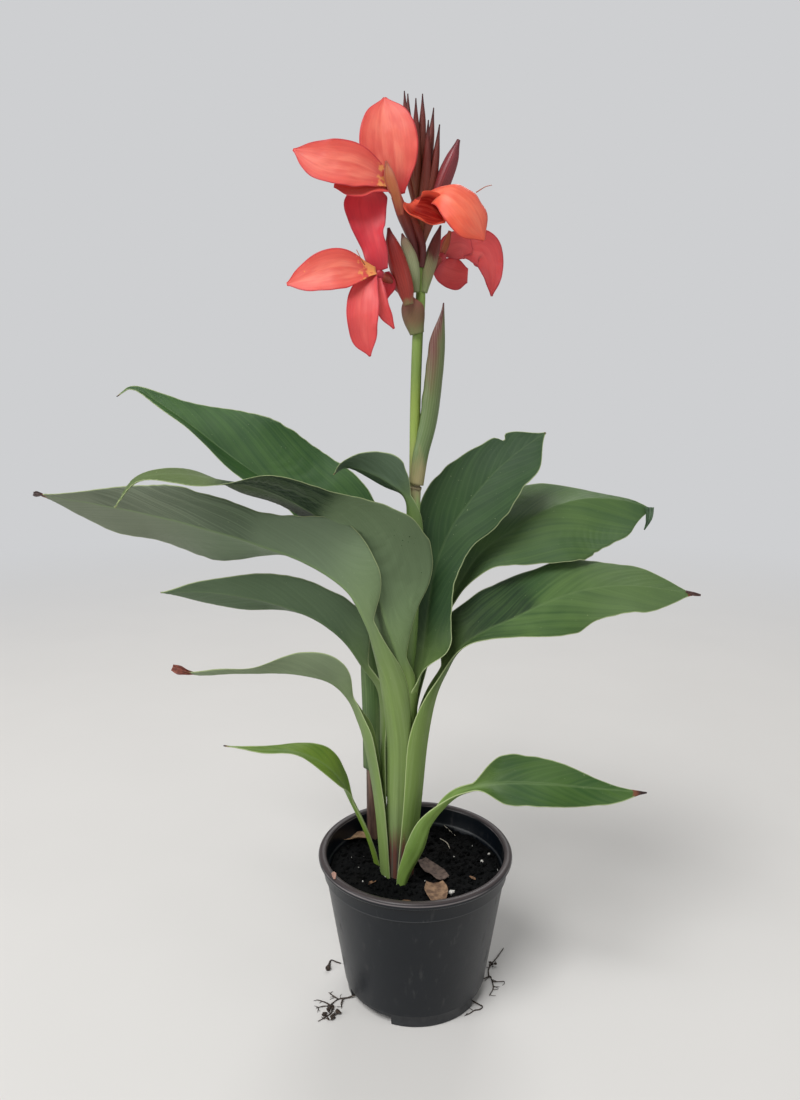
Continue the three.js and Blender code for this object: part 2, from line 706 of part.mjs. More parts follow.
// The flowers. A tube runs from the stalk to the throat, with [x, y, z, radius] at each point, and the petals
// spread from the throat. Petals are in the order: upright, sideways, hanging, small ones.
const FLOWERS = {
  top_left: {
    tube: [
      [0, -8, 731, 2.6],
      [-5, -13, 749, 4],
      [-13, -20, 768, 5.4],
      [-19, -24, 783, 4.6],
    ],
    throat: 5,
    petals: [
      {
        stations: [
          [-18, -23, 784, 0.2, -1, 0.1],
          [-22, -27, 802, 0.1, -1, 0],
          [-25, -29, 821, 0, -1, 0.1],
          [-27, -27, 842, 0, -1, 0.2],
          [-29, -20, 864, 0, -0.9, 0.4],
        ],
        half: [7, 14, 20.5, 24.5, 25.5, 24.5, 21, 14.5, 1.5],
        wrap: [50, 24, 18, 16],
      },
      {
        stations: [
          [-23, -26, 791, 0, -0.9, 0.4],
          [-36, -35, 797, 0, -0.95, 0.3],
          [-56, -43, 802, 0, -0.95, 0.3],
          [-80, -46, 805, 0, -0.95, 0.3],
          [-106, -44, 815, -0.2, -0.9, 0.3],
        ],
        half: [3, 9, 15, 19.5, 21, 20.5, 17.5, 11, 1],
        wrap: [40, 24, 20, 16],
      },
      {
        stations: [
          [-23, -26, 787, 0, -0.8, 0.5],
          [-36, -37, 787, 0, -0.8, 0.5],
          [-54, -42, 784, -0.1, -0.8, 0.5],
          [-72, -44, 786, -0.2, -0.8, 0.5],
        ],
        half: [5, 8, 10.5, 10, 2],
        wrap: [40, 20],
      },
    ],
  },
  lower_left: {
    tube: [
      [0, -9, 680, 3],
      [-10, -11, 700, 3.6],
      [-22, -21, 711, 4.2],
      [-34, -32, 716, 3.4],
    ],
    throat: 5,
    petals: [
      {
        stations: [
          [-32, -35, 719, -0.3, -0.9, 0.1],
          [-37, -37, 736, -0.3, -0.9, 0],
          [-41.5, -35, 752, -0.2, -0.95, 0],
          [-45, -30, 770, -0.1, -0.9, 0.3],
          [-46, -22, 788, 0, -0.6, 0.8],
        ],
        half: [8, 11.5, 12.5, 14.5, 17.5, 19.5, 14],
        wrap: [50, 24, 16, 16],
        wave: { height: 3, count: 2, start: 0.2 },
      },
      {
        stations: [
          [-37, -36, 718, 0, -0.9, 0.4],
          [-55, -44, 718, 0, -0.95, 0.3],
          [-72, -50, 716.5, 0, -0.95, 0.3],
          [-92, -52, 711, 0, -0.95, 0.3],
          [-113, -50, 705, -0.2, -0.9, 0.3],
        ],
        half: [4, 8.5, 15, 18.5, 19, 17.5, 14, 9, 1.5],
        wrap: [40, 24, 20, 20],
      },
      {
        stations: [
          [-40, -36, 716, 0, -0.9, 0.4],
          [-46, -46, 700, 0, -1, 0.3],
          [-48, -52, 680, 0, -1, 0.1],
          [-47, -50, 662, 0, -1, -0.1],
          [-42, -46, 645, 0, -1, -0.2],
        ],
        half: [5, 10, 13.5, 14.2, 13, 10, 1],
        wrap: [40, 20, 20, 20],
      },
      {
        stations: [
          [-35, -35, 713, 0.3, -0.9, 0.3],
          [-33, -41, 698, 0.3, -0.9, 0.2],
          [-30, -43, 684, 0.2, -1, 0],
          [-21, -41, 669, 0.2, -1, 0],
        ],
        half: [3, 5, 6, 5.5, 1],
        wrap: [30, 24],
      },
    ],
  },
  upper_right: {
    tube: [
      [4, -8, 726, 2.6],
      [4, -11, 744, 3.4],
      [-2, -14, 760, 4],
      [-8, -17, 773, 3.4],
    ],
    throat: 4.5,
    petals: [
      {
        stations: [
          [-6, -14, 778, 0, -0.8, 0.5],
          [10, -20, 784, 0, -0.8, 0.5],
          [26, -33, 783, 0.1, -0.9, 0.4],
          [44, -37, 767, 0.3, -0.9, 0.3],
          [58, -30, 745, 0.5, -0.8, 0.1],
        ],
        half: [4, 6, 11, 17, 20.5, 21.5, 18, 2],
        wrap: [-10, -24, -32, -24],
      },
      {
        stations: [
          [-7, -20, 778, 0.2, -0.9, 0.3],
          [-3, -25, 772, 0.2, -0.95, 0.3],
          [8, -27, 768, 0.2, -0.95, 0.3],
          [24, -27, 761, 0.3, -0.9, 0.3],
        ],
        half: [6, 15, 20, 17, 2],
        wrap: [60, 76, 70, 50],
      },
    ],
  },
  right_behind: {
    tube: [
      [4, -3, 704, 2.6],
      [11, 5, 722, 3.4],
      [18, 11, 734, 3.6],
      [23, 14, 739, 3],
    ],
    throat: 4.5,
    petals: [
      {
        stations: [
          [22, 15, 741, 0, -0.9, 0.3],
          [32, 20, 747, 0, -0.9, 0.2],
          [42, 24, 750, 0, -0.9, 0.3],
          [52, 26, 746, 0.2, -0.9, 0.2],
        ],
        half: [4, 12, 15, 13, 3],
        wrap: [30, 18],
      },
      {
        stations: [
          [19, 15, 731, 0, -0.9, 0.2],
          [26, 18, 727, 0, -0.9, 0.2],
          [35, 20, 724, 0, -0.9, 0.2],
          [48, 21, 723, 0, -0.9, 0.2],
        ],
        half: [9, 13, 15, 14, 7],
        wrap: [12, 16],
      },
      {
        stations: [
          [24, 17, 742, 0, -1, 0.2],
          [48, 27, 749, 0, -1, 0.1],
          [65, 31, 747, 0, -1, 0.1],
          [72, 32, 727, 0.1, -1, 0],
          [72, 31, 706, 0.1, -1, 0],
        ],
        half: [4, 7, 13, 17, 15, 12, 7, 1],
        wrap: [30, 16, 14, 20],
        wave: { height: 3, count: 2, start: 0.4 },
      },
      {
        stations: [
          [23, 13, 740, 0, -1, 0],
          [27, 8, 750, 0, -1, 0.2],
          [30, 4, 760, 0, -0.9, 0.4],
        ],
        half: [3, 3.6, 1.5],
        wrap: [40, 40],
      },
    ],
  },
};

/** The petals of a flower, joined at a small round throat. */
function petalsSolid({ petals, tube, throat }, extra) {
  const [x, y, z] = tube[tube.length - 1];
  const ball = new THREE.SphereGeometry(throat + extra, 8, 6).translate(x, y, z);
  return joinAll([toSolid(ball), ...petals.map((petal) => stripSolid(petal, extra))]);
}

// Bracts round the feet of the flowers, as [x, y, z, radius] along each.
const BRACTS = {
  bract_left: [
    [-8, -19, 692, 4.5],
    [-11.5, -21, 706, 7.4],
    [-17, -23, 724, 8],
    [-22.5, -23, 742, 6],
    [-26, -22, 757, 1.2],
  ],
  bract_middle: [
    [-1, -11, 704, 3],
    [-3, -14, 718, 5],
    [-6, -17, 732, 5.5],
    [-11, -19, 744, 4],
    [-14, -19, 753, 0.8],
  ],
  bract_right: [
    [6, -8, 704, 3],
    [9, -7, 720, 5.2],
    [13, -6, 736, 5.8],
    [17, -5, 750, 4],
    [21, -4, 763, 0.8],
  ],
};
const LOW_BRACT = {
  stations: [
    [-1, -13, 667, 0.2, 1, 0],
    [-4, -14.5, 679, 0.2, 1, 0],
    [-7, -16, 691, 0.3, 0.9, 0.2],
    [-9, -17, 701, 0.4, 0.8, 0.3],
  ],
  half: [9, 14, 13, 3],
  wrap: [80, 84, 66, 40],
  thick: 1.2,
};
// The rolled leaf beside the flower stalk: its foot clasps the stalk just above the ringed node.
const SPATHE = {
  stations: [
    [5.9, -6, 528, -1, 0, 0],
    [10.4, -6, 556, -1, 0, 0],
    [17.5, -7, 584, -1, 0, 0],
    [22, -8, 616, -1, 0, 0.1],
    [25, -8, 655, -1, 0, 0.1],
    [24, -8, 695, -1, 0, 0],
  ],
  half: [17.3, 20, 22, 22, 18.5, 1],
  wrap: [150, 150, 150, 150, 145, 80],
  thick: 1.2,
};

// ---------------------------------------------------------------- buds
// Pointed buds round the top of the flower stalk, the lowest the longest and the furthest out.
const SPIKE_CORE = [
  [2, -6, 736.3, 3.4],
  [1, -6, 762, 3.6],
  [-1, -6, 788, 3],
  [-4, -6, 822, 1.4],
];
const BUDS = { lowest: 746, rise: 6.5, fat: 4.6, thin: 3.8, bow: 1.5 };
// Where the narrow buds end, as [x, y, z], from the lowest bud to the highest.
const BUD_TIPS = [
  [19, -9, 846],
  [9, -14, 848],
  [9, 6, 850],
  [-6, 5, 856],
  [-14, 2, 863],
  [14, -2, 862],
  [-2, -13, 866],
  [-9, -9, 871],
  [4, -6, 872],
  [-12, -4, 875],
];
const FAT_BUD = [
  [4, -6, 746, 2.4],
  [12, -7, 772, 5.4],
  [22, -7, 799, 7],
  [30, -7, 818, 5.8],
  [36, -7, 834, 1.6],
];

/** A bud's middle line and radii, from its foot out to its tip, with a slight bow outwards. */
function budPoints(foot, tip, radius) {
  const bow = vec(tip.x - foot.x, tip.y - foot.y, 0).normalize().multiplyScalar(BUDS.bow);
  return [[0, 0, 0.5], [0.35, 1, 1], [0.7, 1, 0.75], [1, 0, 0.15]].map(([share, bowed, thick]) => {
    const point = foot.clone().lerp(tip, share).addScaledVector(bow, bowed);
    return [point.x, point.y, point.z, radius * thick];
  });
}

function budSpikeSolid(extra) {
  const axis = curveThrough(SPIKE_CORE);
  const parts = [stemSolid(SPIKE_CORE, { sides: 8, extra }), stemSolid(FAT_BUD, { sides: 7, extra })];
  const height = SPIKE_CORE[SPIKE_CORE.length - 1][2] - SPIKE_CORE[0][2];
  BUD_TIPS.forEach((tip, k) => {
    const foot = axis.getPoint((BUDS.lowest + k * BUDS.rise - SPIKE_CORE[0][2]) / height);
    const radius = lerp(BUDS.fat, BUDS.thin, k / (BUD_TIPS.length - 1));
    parts.push(stemSolid(budPoints(foot, vec(...tip), radius), { sides: 5, extra }));
  });
  return joinAll(parts);
}

// ---------------------------------------------------------------- dry scraps and roots
// Scraps of dry leaf on the soil: middle, length, half width and turn.
const SCRAPS = {
  dry_leaf_front: { x: 20, y: -12, length: 42, half: 9, turn: -55 },
  dry_leaf_edge: { x: 20, y: -50, length: 26, half: 11, turn: 95 },
  dry_leaf_left: { x: -66, y: 58, length: 25, half: 8, turn: -12 },
};
const SCRAP_LIFT = 1.6; // of its middle over the soil

function scrapSolid({ x, y, length, half, turn }, extra) {
  const along = vec(Math.cos(degToRad(turn)), Math.sin(degToRad(turn)), 0);
  const stations = [-0.5, 0, 0.5].map((share) => {
    const [px, py] = [x + along.x * length * share, y + along.y * length * share];
    return [px, py, soilHeight(px, py) + SCRAP_LIFT, 0, 0.15, 1];
  });
  const shape = { half: [half * 0.8, half, half * 0.5], wrap: [25, 30], thick: 0.8 };
  return stripSolid({ stations, ...shape }, extra);
}

// Roots that come out of the notches and lie on the ground, as points on the ground with a height.
const ROOTS = {
  roots_left: [
    [[-56, -29, 6.5], [-70, -32.5, 2.4], [-80, -34, 1.2], [-87, -42, 1.2], [-95, -44, 1.2], [-101, -46, 1.2]],
    [[-79, -34.2, 1.4], [-85, -29, 1.2], [-90, -24, 1.2]],
    [[-86.4, -42.6, 1.3], [-93, -38, 1.2], [-100, -35, 1.2]],
    [[-85.4, -40, 1.35], [-85, -52, 1.2], [-90, -58, 1.2], [-97, -64, 1.2]],
    [[-74, -33.4, 1.8], [-76, -39, 1.2], [-75, -45, 1.2]],
  ],
  roots_right: [
    [[59, -12, 6.5], [74, -4, 2.4], [81, 0, 1.2], [83, -7.5, 1.2], [95, -7.5, 1.2]],
    [[82.4, -5.4, 1.35], [82, -18, 1.2], [77, -28, 1.2]],
    [[79.4, -1.2, 1.5], [80, 10, 1.2], [84, 19, 1.2], [92, 31, 1.2], [101, 46, 1.2]],
  ],
  roots_front_right: [
    [[50, -34, 6.5], [62, -40, 2.4], [68, -44, 1.2], [65, -48, 1.2], [60, -49, 1.2], [55, -53, 1.2], [50, -56, 1.2]],
  ],
};
const ROOT_RADIUS = { foot: 1.1, tip: 0.7 };

function rootsSolid(strands, extra) {
  return joinAll(
    strands.map((points) => {
      const last = points.length - 1;
      const round = points.map((point, i) => [...point, lerp(ROOT_RADIUS.foot, ROOT_RADIUS.tip, i / last)]);
      return stemSolid(round, { sides: 4, extra });
    }),
  );
}

// ---------------------------------------------------------------- assembly
const plant = new THREE.Group();
const placed = [];

/** Adds a piece, cut clear of the pieces placed before it. make(extra) builds it grown by extra all over. */
function place(name, make, colour, roughness = 0.6) {
  const solid = make(0);
  const near = placed.filter((other) => other.grown.intersect(solid).volume() > 0);
  const material = new THREE.MeshStandardMaterial({ color: colour, roughness, metalness: 0 });
  const mesh = new THREE.Mesh(toGeometry(cutAway(solid, near.map((other) => other.grown))), material);
  mesh.name = name;
  plant.add(mesh);
  placed.push({ grown: make(GAP) });
}

place("pot", potSolid, COLOUR.pot, 0.5);
place("main_shoot", (extra) => stemSolid(MAIN_SHOOT, { sides: 12, flatten: 0.8, extra }), COLOUR.stalk);
place("old_shoot", (extra) => stemSolid(OLD_SHOOT, { sides: 10, extra }), COLOUR.oldSheath);
Object.entries(LEAVES).forEach(([name, leaf]) => {
  place(name, (extra) => leafSolid(leaf, extra), COLOUR.blade);
});
place("spathe", (extra) => stripSolid(SPATHE, extra), COLOUR.spathe);
place("bud_spike", budSpikeSolid, COLOUR.bud);
Object.entries(FLOWERS).forEach(([name, flower]) => {
  place(`flower_${name}`, (extra) => petalsSolid(flower, extra), COLOUR.petal, 0.45);
});
Object.entries(FLOWERS).forEach(([name, flower]) => {
  place(`tube_${name}`, (extra) => stemSolid(flower.tube, { sides: 8, extra }), COLOUR.calyx);
});
Object.entries(BRACTS).forEach(([name, points]) => {
  place(name, (extra) => stemSolid(points, { sides: 8, flatten: 0.7, extra }), COLOUR.bract);
});
place("low_bract", (extra) => stripSolid(LOW_BRACT, extra), COLOUR.bract);
place("soil", soilSolid, COLOUR.soil, 0.95);
Object.entries(SCRAPS).forEach(([name, scrap]) => {
  place(name, (extra) => scrapSolid(scrap, extra), COLOUR.dryLeaf, 0.9);
});
Object.entries(ROOTS).forEach(([name, strands]) => {
  place(name, (extra) => rootsSolid(strands, extra), COLOUR.root, 0.9);
});

export default plant;
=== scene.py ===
"""Dresses a potted canna lily for rendering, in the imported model's own frame.

Every piece replaces its plain solid with a finer one of the same form: blades with veins and a midrib,
petals, buds, sheaths, a moulded pot, crumbly soil with perlite, and fine roots.
Lists of points are in millimetres (MM turns them into Blender's metres), +Z is up and -Y is the front.
"""
import math
import random

import bmesh
import bpy
import numpy as np
from mathutils import Euler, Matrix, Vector, noise


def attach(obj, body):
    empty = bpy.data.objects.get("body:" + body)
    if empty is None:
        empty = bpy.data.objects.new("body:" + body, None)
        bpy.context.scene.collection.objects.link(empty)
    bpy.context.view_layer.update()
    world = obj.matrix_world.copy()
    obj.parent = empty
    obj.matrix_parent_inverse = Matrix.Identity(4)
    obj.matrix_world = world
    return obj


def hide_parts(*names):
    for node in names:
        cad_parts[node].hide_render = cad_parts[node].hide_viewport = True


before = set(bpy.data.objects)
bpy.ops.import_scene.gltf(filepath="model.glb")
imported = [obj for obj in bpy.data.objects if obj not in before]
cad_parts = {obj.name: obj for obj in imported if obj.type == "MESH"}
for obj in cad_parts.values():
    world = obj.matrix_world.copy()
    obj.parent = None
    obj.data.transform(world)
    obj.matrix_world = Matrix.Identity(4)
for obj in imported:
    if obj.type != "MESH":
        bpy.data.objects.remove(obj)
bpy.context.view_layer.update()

# ---------------------------------------------------------------- driving values
MM = 0.001

CAMERA = {"place": (-15.8, -768, 599), "down": 9.92, "lens": 26.25, "sensor": 36}

POT = {
    "height": 152, "rim": 100, "lip_height": 7, "lip_width": 8, "collar": 96, "step_drop": 22,
    "step_depth": 2, "foot": 71.5, "foot_height": 13, "foot_inset": 1.6, "wall": 2, "floor": 2.5,
    "sides": 180,
}
POT_STEP = POT["height"] - POT["step_drop"]
WALL_TOP = POT["collar"] - POT["step_depth"] - 1.5
FOOT_TOP = POT["foot"] + 1.2
NOTCH = {"count": 3, "width": 47, "first": 76.5, "height": 9, "inner": 60}
DRAIN_HOLES = {"count": 4, "radius": 4, "ring": 36}
SOIL = {"top": 128, "crown": 3, "lump": 1.6, "edge_gap": 0.6}

SHEATH = 1.3  # thickness of a sheath and stalk
BLADE = 0.9  # thickness of a blade
RIB = 1.3  # how far the midrib stands out under the blade
RIB_WIDTH = 2.6
PETAL = 0.7
TIP = 0.7  # half width at a leaf's very tip
THINNEST = 0.15  # least radius of a tube
VEIN_STEP = 15  # between the larger veins, measured along the midrib
WAVE_SHIFT = 0.37  # turns by which the right margin's waves differ from the left one's

# ---------------------------------------------------------------- the plant's forms
# Stems: x, y, z and radius. Leaves, petals and other blades: x, y, z of the middle and then the direction
# that the upper side faces. "sheath" is the curl radius at the foot and at the top, and how far each half
# wraps round in degrees; "stalk" is a radius and a wrap; "left" and "right" are half widths of the blade.
MAIN_SHOOT = [
    (-19, -10, 100, 9), (-18, -10, 128, 9.6), (-17, -8, 206, 11), (-15, -6, 271, 11),
    (-9, -6, 335, 7.6), (-5, -6, 400, 7.2), (-3.5, -6, 470, 6.2), (-2.3, -6, 519, 6.2),
    (-2.1, -6, 526, 6.9), (-2, -6, 533, 5.2), (-1.5, -6, 600, 4.9), (0.4, -6, 664, 4.9),
    (3, -6, 700, 4.4), (2, -6, 736, 3.6),
]

OLD_SHOOT = [
    (-46, 61.5, 100, 6.4), (-45.5, 60, 128, 7), (-45.5, 55, 200, 7), (-46, 49, 270, 6.3),
    (-46.5, 46, 320, 4.5), (-47, 45, 338, 2.5),
]

LEAVES = {
    "leaf_back_left": {
        "stations": [
            (-54, 54, 215, 0.9, 0.2, 0), (-54, 46, 280, 0.9, 0.1, 0), (-55, 42, 345, 0.9, 0.1, 0.2),
            (-50, 44, 388, 0.6, -0.5, 0.5), (-58, 54, 432, 0.4, -0.7, 0.5),
            (-90, 66, 478, 0.3, -0.65, 0.65), (-134, 78, 508, 0.3, -0.6, 0.7),
            (-182, 88, 540, 0.25, -0.6, 0.7), (-232, 98, 577, 0.25, -0.6, 0.7),
            (-274, 105, 606, 0.2, -0.6, 0.7), (-302, 108, 621, 0, -0.5, 0.8),
            (-320, 109, 613, -0.5, -0.4, 0.7),
        ],
        "sheath_end": 2, "blade_start": 3,
        "sheath": (11, 11, 120), "stalk": (9.5, 60),
        "left": (40, 48, 43, 26, 8), "right": (42, 60, 62, 46, 16),
        "fold": (16, 28, 34, 26, 10), "cup": 6, "wave": (4, 3, 0.1),
    },
    "leaf_front_long": {
        "stations": [
            (-15, -21, 262, 0, 1, 0), (-13, -22, 305, 0, 1, 0.1), (-13, -24, 340, 0.2, 1, 0.2),
            (-17, -28, 363, 0.3, 0.9, 0.3), (-28, -32, 398, 0.3, 0.9, 0.3),
            (-41, -34, 436, 0.3, 0.85, 0.35), (-64, -36, 477, 0.35, 0.7, 0.55),
            (-99, -38, 508, 0.35, 0.5, 0.75), (-143, -46, 530, 0.2, 0.3, 0.9),
            (-178, -54, 538, 0.1, 0, 0.95), (-212, -59, 543, 0, -0.2, 0.95),
            (-245, -66, 539, -0.2, -0.3, 0.9), (-265, -72, 515, -0.6, -0.3, 0.6),
        ],
        "sheath_end": 1, "blade_start": 3,
        "sheath": (14.5, 14.5, 80), "stalk": (8, 60),
        "left": (30, 62, 62, 48, 48, 48, 31, 18, 9), "right": (38, 62, 75, 74, 62, 47, 33, 21, 10),
        "fold": (44, 34, 5, -10, 0), "cup": 8, "wave": (4, 3, 0.35),
    },
    "leaf_left_upper": {
        "stations": [
            (-20, -22, 100, 0.2, 1, 0), (-20, -23, 128, 0.2, 1, 0), (-19, -23, 206, 0.2, 1, 0),
            (-18, -25, 271, 0.2, 1, 0), (-25, -29, 330, 0.4, 1, 0.1), (-37, -33, 370, 0.6, 0.8, 0.3),
            (-47, -37, 401, 0.6, 0.7, 0.4), (-65, -37, 433, 0.5, 0.65, 0.55),
            (-103, -29, 457, 0.3, 0.7, 0.65), (-149, -21, 473, 0.15, 0.8, 0.6),
            (-206, -12, 489, 0.1, 0.85, 0.55), (-256, -4, 500, 0.1, 0.85, 0.55),
            (-304, 0, 509, 0, 0.8, 0.6), (-344, 3, 515, 0, 0.7, 0.7), (-368, 5, 519, -0.2, 0.6, 0.8),
        ],
        "sheath_end": 4, "blade_start": 6,
        "sheath": (10, 14.5, 75), "stalk": (7, 65),
        "left": (39, 56, 41, 30, 38, 43, 30, 20, 11), "right": (22, 38, 30, 35, 47, 50, 38, 35, 26),
        "fold": (40, 30, 8, 2, 0), "cup": 8, "wave": (5, 3, 0),
    },
    "leaf_left_middle": {
        "stations": [
            (-33, -2, 206, 1, -0.2, 0), (-34, 1, 262, 1, -0.2, 0), (-36, 7, 316, 1, 0.1, 0.3),
            (-52, 8, 343, 0.7, 0.4, 0.5), (-70, 10, 368, 0.5, 0.55, 0.6),
            (-97, 12, 390, 0.3, 0.7, 0.65), (-131, 14, 404, 0.1, 0.8, 0.6),
            (-174, 14, 415, 0, 0.85, 0.5), (-214, 14, 420, 0, 0.85, 0.5), (-255, 14, 419, 0, 0.7, 0.7),
        ],
        "sheath_end": 1, "blade_start": 3,
        "sheath": (13, 14, 55), "stalk": (7, 65),
        "left": (38, 39, 32, 24, 13), "right": (16, 18, 16, 22, 20),
        "fold": (34, 24, 8, 2), "cup": 10, "wave": (3, 2, 0.2),
    },
    "leaf_left_lower": {
        "stations": [
            (-33, -11, 100, 1, 0, 0), (-34, -11, 128, 1, 0, 0), (-40, -10, 206, 1, 0, 0),
            (-50, -11, 270, 1, 0, 0), (-57, -12, 296, 1, 0.1, 0.2), (-66, -14, 318, 0.8, 0.3, 0.5),
            (-82, -18, 336, 0.5, 0.5, 0.7), (-104, -23, 345, 0.2, 0.6, 0.8),
            (-135, -28, 350, 0, 0.6, 0.8), (-178, -34, 351, 0, 0.6, 0.8),
            (-210, -38, 352, 0, 0.5, 0.9), (-231, -40, 357, 0.1, 0.4, 0.9),
        ],
        "sheath_end": 3, "blade_start": 5,
        "sheath": (11, 14, 72), "stalk": (7, 65),
        "left": (30, 26, 16, 9, 5), "right": (24, 16, 8, 6, 5),
        "fold": (34, 24, 10, 4), "cup": 10, "wave": (3, 2, 0.6),
    },
    "leaf_left_small": {
        "stations": [
            (-38, 8, 100, 0.9, 0.3, 0.2), (-41, 6, 128, 0.9, 0.3, 0.2), (-50, -2, 167, 0.9, 0.2, 0.3),
            (-65, -12, 209, 0.9, 0.1, 0.3), (-76, -16, 233, 0.8, -0.2, 0.5),
            (-94, -20, 254, 0.4, -0.3, 0.8), (-119, -24, 267, 0, -0.3, 0.9),
            (-153, -28, 271, 0, -0.2, 0.95), (-188, -30, 276, 0, -0.1, 0.95),
        ],
        "sheath_end": 1, "blade_start": 3,
        "sheath": (3.6, 3.8, 80), "stalk": (2.9, 75),
        "left": (12, 12, 9, 6, 3), "right": (14, 18, 14, 8, 3),
        "fold": (12, 6, 2), "cup": 10, "wave": (2, 2, 0.2),
    },
    "leaf_right_upright": {
        "stations": [
            (-6, -15, 268, -0.7, 0.7, 0), (-2.5, -15, 310, -0.8, 0.6, 0),
            (3, -14, 342, -0.8, -0.4, 0.1), (8, -9, 370, -0.5, -0.85, 0.15),
            (12, -4, 407, -0.3, -0.95, 0.2), (19, 2, 447, -0.2, -0.95, 0.2),
            (34, 8, 484, -0.2, -0.95, 0.25), (55, 13, 514, -0.2, -0.9, 0.3),
            (78, 18, 540, -0.2, -0.9, 0.35), (102, 22, 560, -0.2, -0.85, 0.4),
            (127, 26, 577, -0.2, -0.8, 0.4),
        ],
        "sheath_end": 1, "blade_start": 2,
        "sheath": (12.5, 12.5, 50), "stalk": (8, 60),
        "left": (19, 22, 26, 31, 35, 41, 39, 31, 22), "right": (36, 30, 25, 25, 28, 36, 38, 33, 28),
        "fold": (24, 12, 4, 0), "cup": 8, "wave": (3, 2, 0.2),
    },
    "leaf_right_upper": {
        "stations": [
            (-5.5, 2.5, 268, -0.75, -0.66, 0), (-2, 3, 310, -0.7, -0.7, 0),
            (6, 3, 343, -0.6, -0.7, 0.2), (18, 9, 378, -0.6, -0.7, 0.25),
            (31, 14, 403, -0.5, -0.8, 0.3), (46, 19, 429, -0.35, -0.8, 0.4),
            (66, 24, 457, -0.3, -0.8, 0.5), (98, 30, 480, -0.2, -0.75, 0.6),
            (131, 36, 499, -0.1, -0.7, 0.7), (163, 41, 509, 0, -0.65, 0.75),
            (192, 44, 510, 0.05, -0.65, 0.75), (220, 47, 506, 0.1, -0.6, 0.75),
            (243, 48, 498, 0.2, -0.6, 0.7),
        ],
        "sheath_end": 1, "blade_start": 4,
        "sheath": (12.5, 12.5, 50), "stalk": (7, 60),
        "left": (12, 26, 38, 47, 53, 46, 25, 13, 6), "right": (10, 20, 32, 44, 58, 62, 58, 51, 38),
        "fold": (26, 10, -16, -22, -10), "cup": 6, "wave": (3, 3, 0.3),
    },
    "leaf_right_middle": {
        "stations": [
            (-5, -14, 100, -1, 0.2, 0), (-4, -14, 128, -1, 0.2, 0), (4, -12, 206, -1, 0.2, 0),
            (10, -11, 271, -1, 0.2, 0), (18, -13, 318, -0.9, 0.1, 0.3),
            (29, -17, 348, -0.8, -0.1, 0.5), (42, -19, 371, -0.6, -0.4, 0.7),
            (68, -18, 389, -0.5, -0.5, 0.7), (95, -15, 401, -0.3, -0.6, 0.7),
            (123, -12, 414, -0.2, -0.65, 0.7), (158, -10, 426, 0, -0.65, 0.7),
            (200, -8, 431, 0.1, -0.6, 0.75), (240, -6, 427, 0.2, -0.5, 0.8),
            (273, -4, 421, 0.2, -0.4, 0.9),
        ],
        "sheath_end": 3, "blade_start": 5,
        "sheath": (12, 17, 85), "stalk": (8, 65),
        "left": (36, 42, 46, 47, 41, 39, 34, 28, 14), "right": (7, 13, 22, 38, 41, 32, 32, 32, 18),
        "fold": (14, 2, -8, -8, 0), "cup": 6, "wave": (4, 3, 0.6),
    },
    "leaf_right_low": {
        "stations": [
            (-16, -31, 100, -0.4, 0.9, 0.2), (-11, -33, 135, -0.4, 0.9, 0.2),
            (3, -37, 168, -0.5, 0.8, 0.3), (14, -37, 198, -0.6, 0.6, 0.4),
            (35, -40, 226, -0.6, 0, 0.7), (56, -44, 239, -0.3, -0.6, 0.7),
            (84, -48, 246, 0, -0.8, 0.6), (123, -52, 247, 0, -0.8, 0.6),
            (175, -54, 243, 0.1, -0.8, 0.6), (219, -56, 240, 0.1, -0.6, 0.7),
        ],
        "sheath_end": 2, "blade_start": 5,
        "sheath": (1.5, 12, 75), "stalk": (4, 75),
        "left": (25, 26, 21, 12, 4), "right": (20, 22, 21, 17, 12),
        "fold": (6, 0, -4, 0), "cup": 6, "wave": (2, 2, 0.1),
    },
    "leaf_top_small": {
        "stations": [
            (-1, -13, 462, 0, 1, 0), (-3, -14, 492, 0.2, 0.9, 0), (-10, -15, 518, 0.5, 0.7, 0.4),
            (-26, -16, 532, 0.3, 0.7, 0.6), (-41, -17, 540, 0.1, 0.7, 0.7),
            (-57, -18, 546, -0.1, 0.6, 0.8), (-69, -18, 546, -0.3, 0.4, 0.8),
            (-78, -18, 539, -0.5, 0.3, 0.8),
        ],
        "sheath_end": 1, "blade_start": 2,
        "sheath": (8, 8, 70), "stalk": (5, 60),
        "left": (18, 27, 26, 20, 9), "right": (12, 16, 14, 11, 6),
        "fold": (20, 14, 4), "cup": 10, "wave": (1.5, 1, 0.2),
    },
}

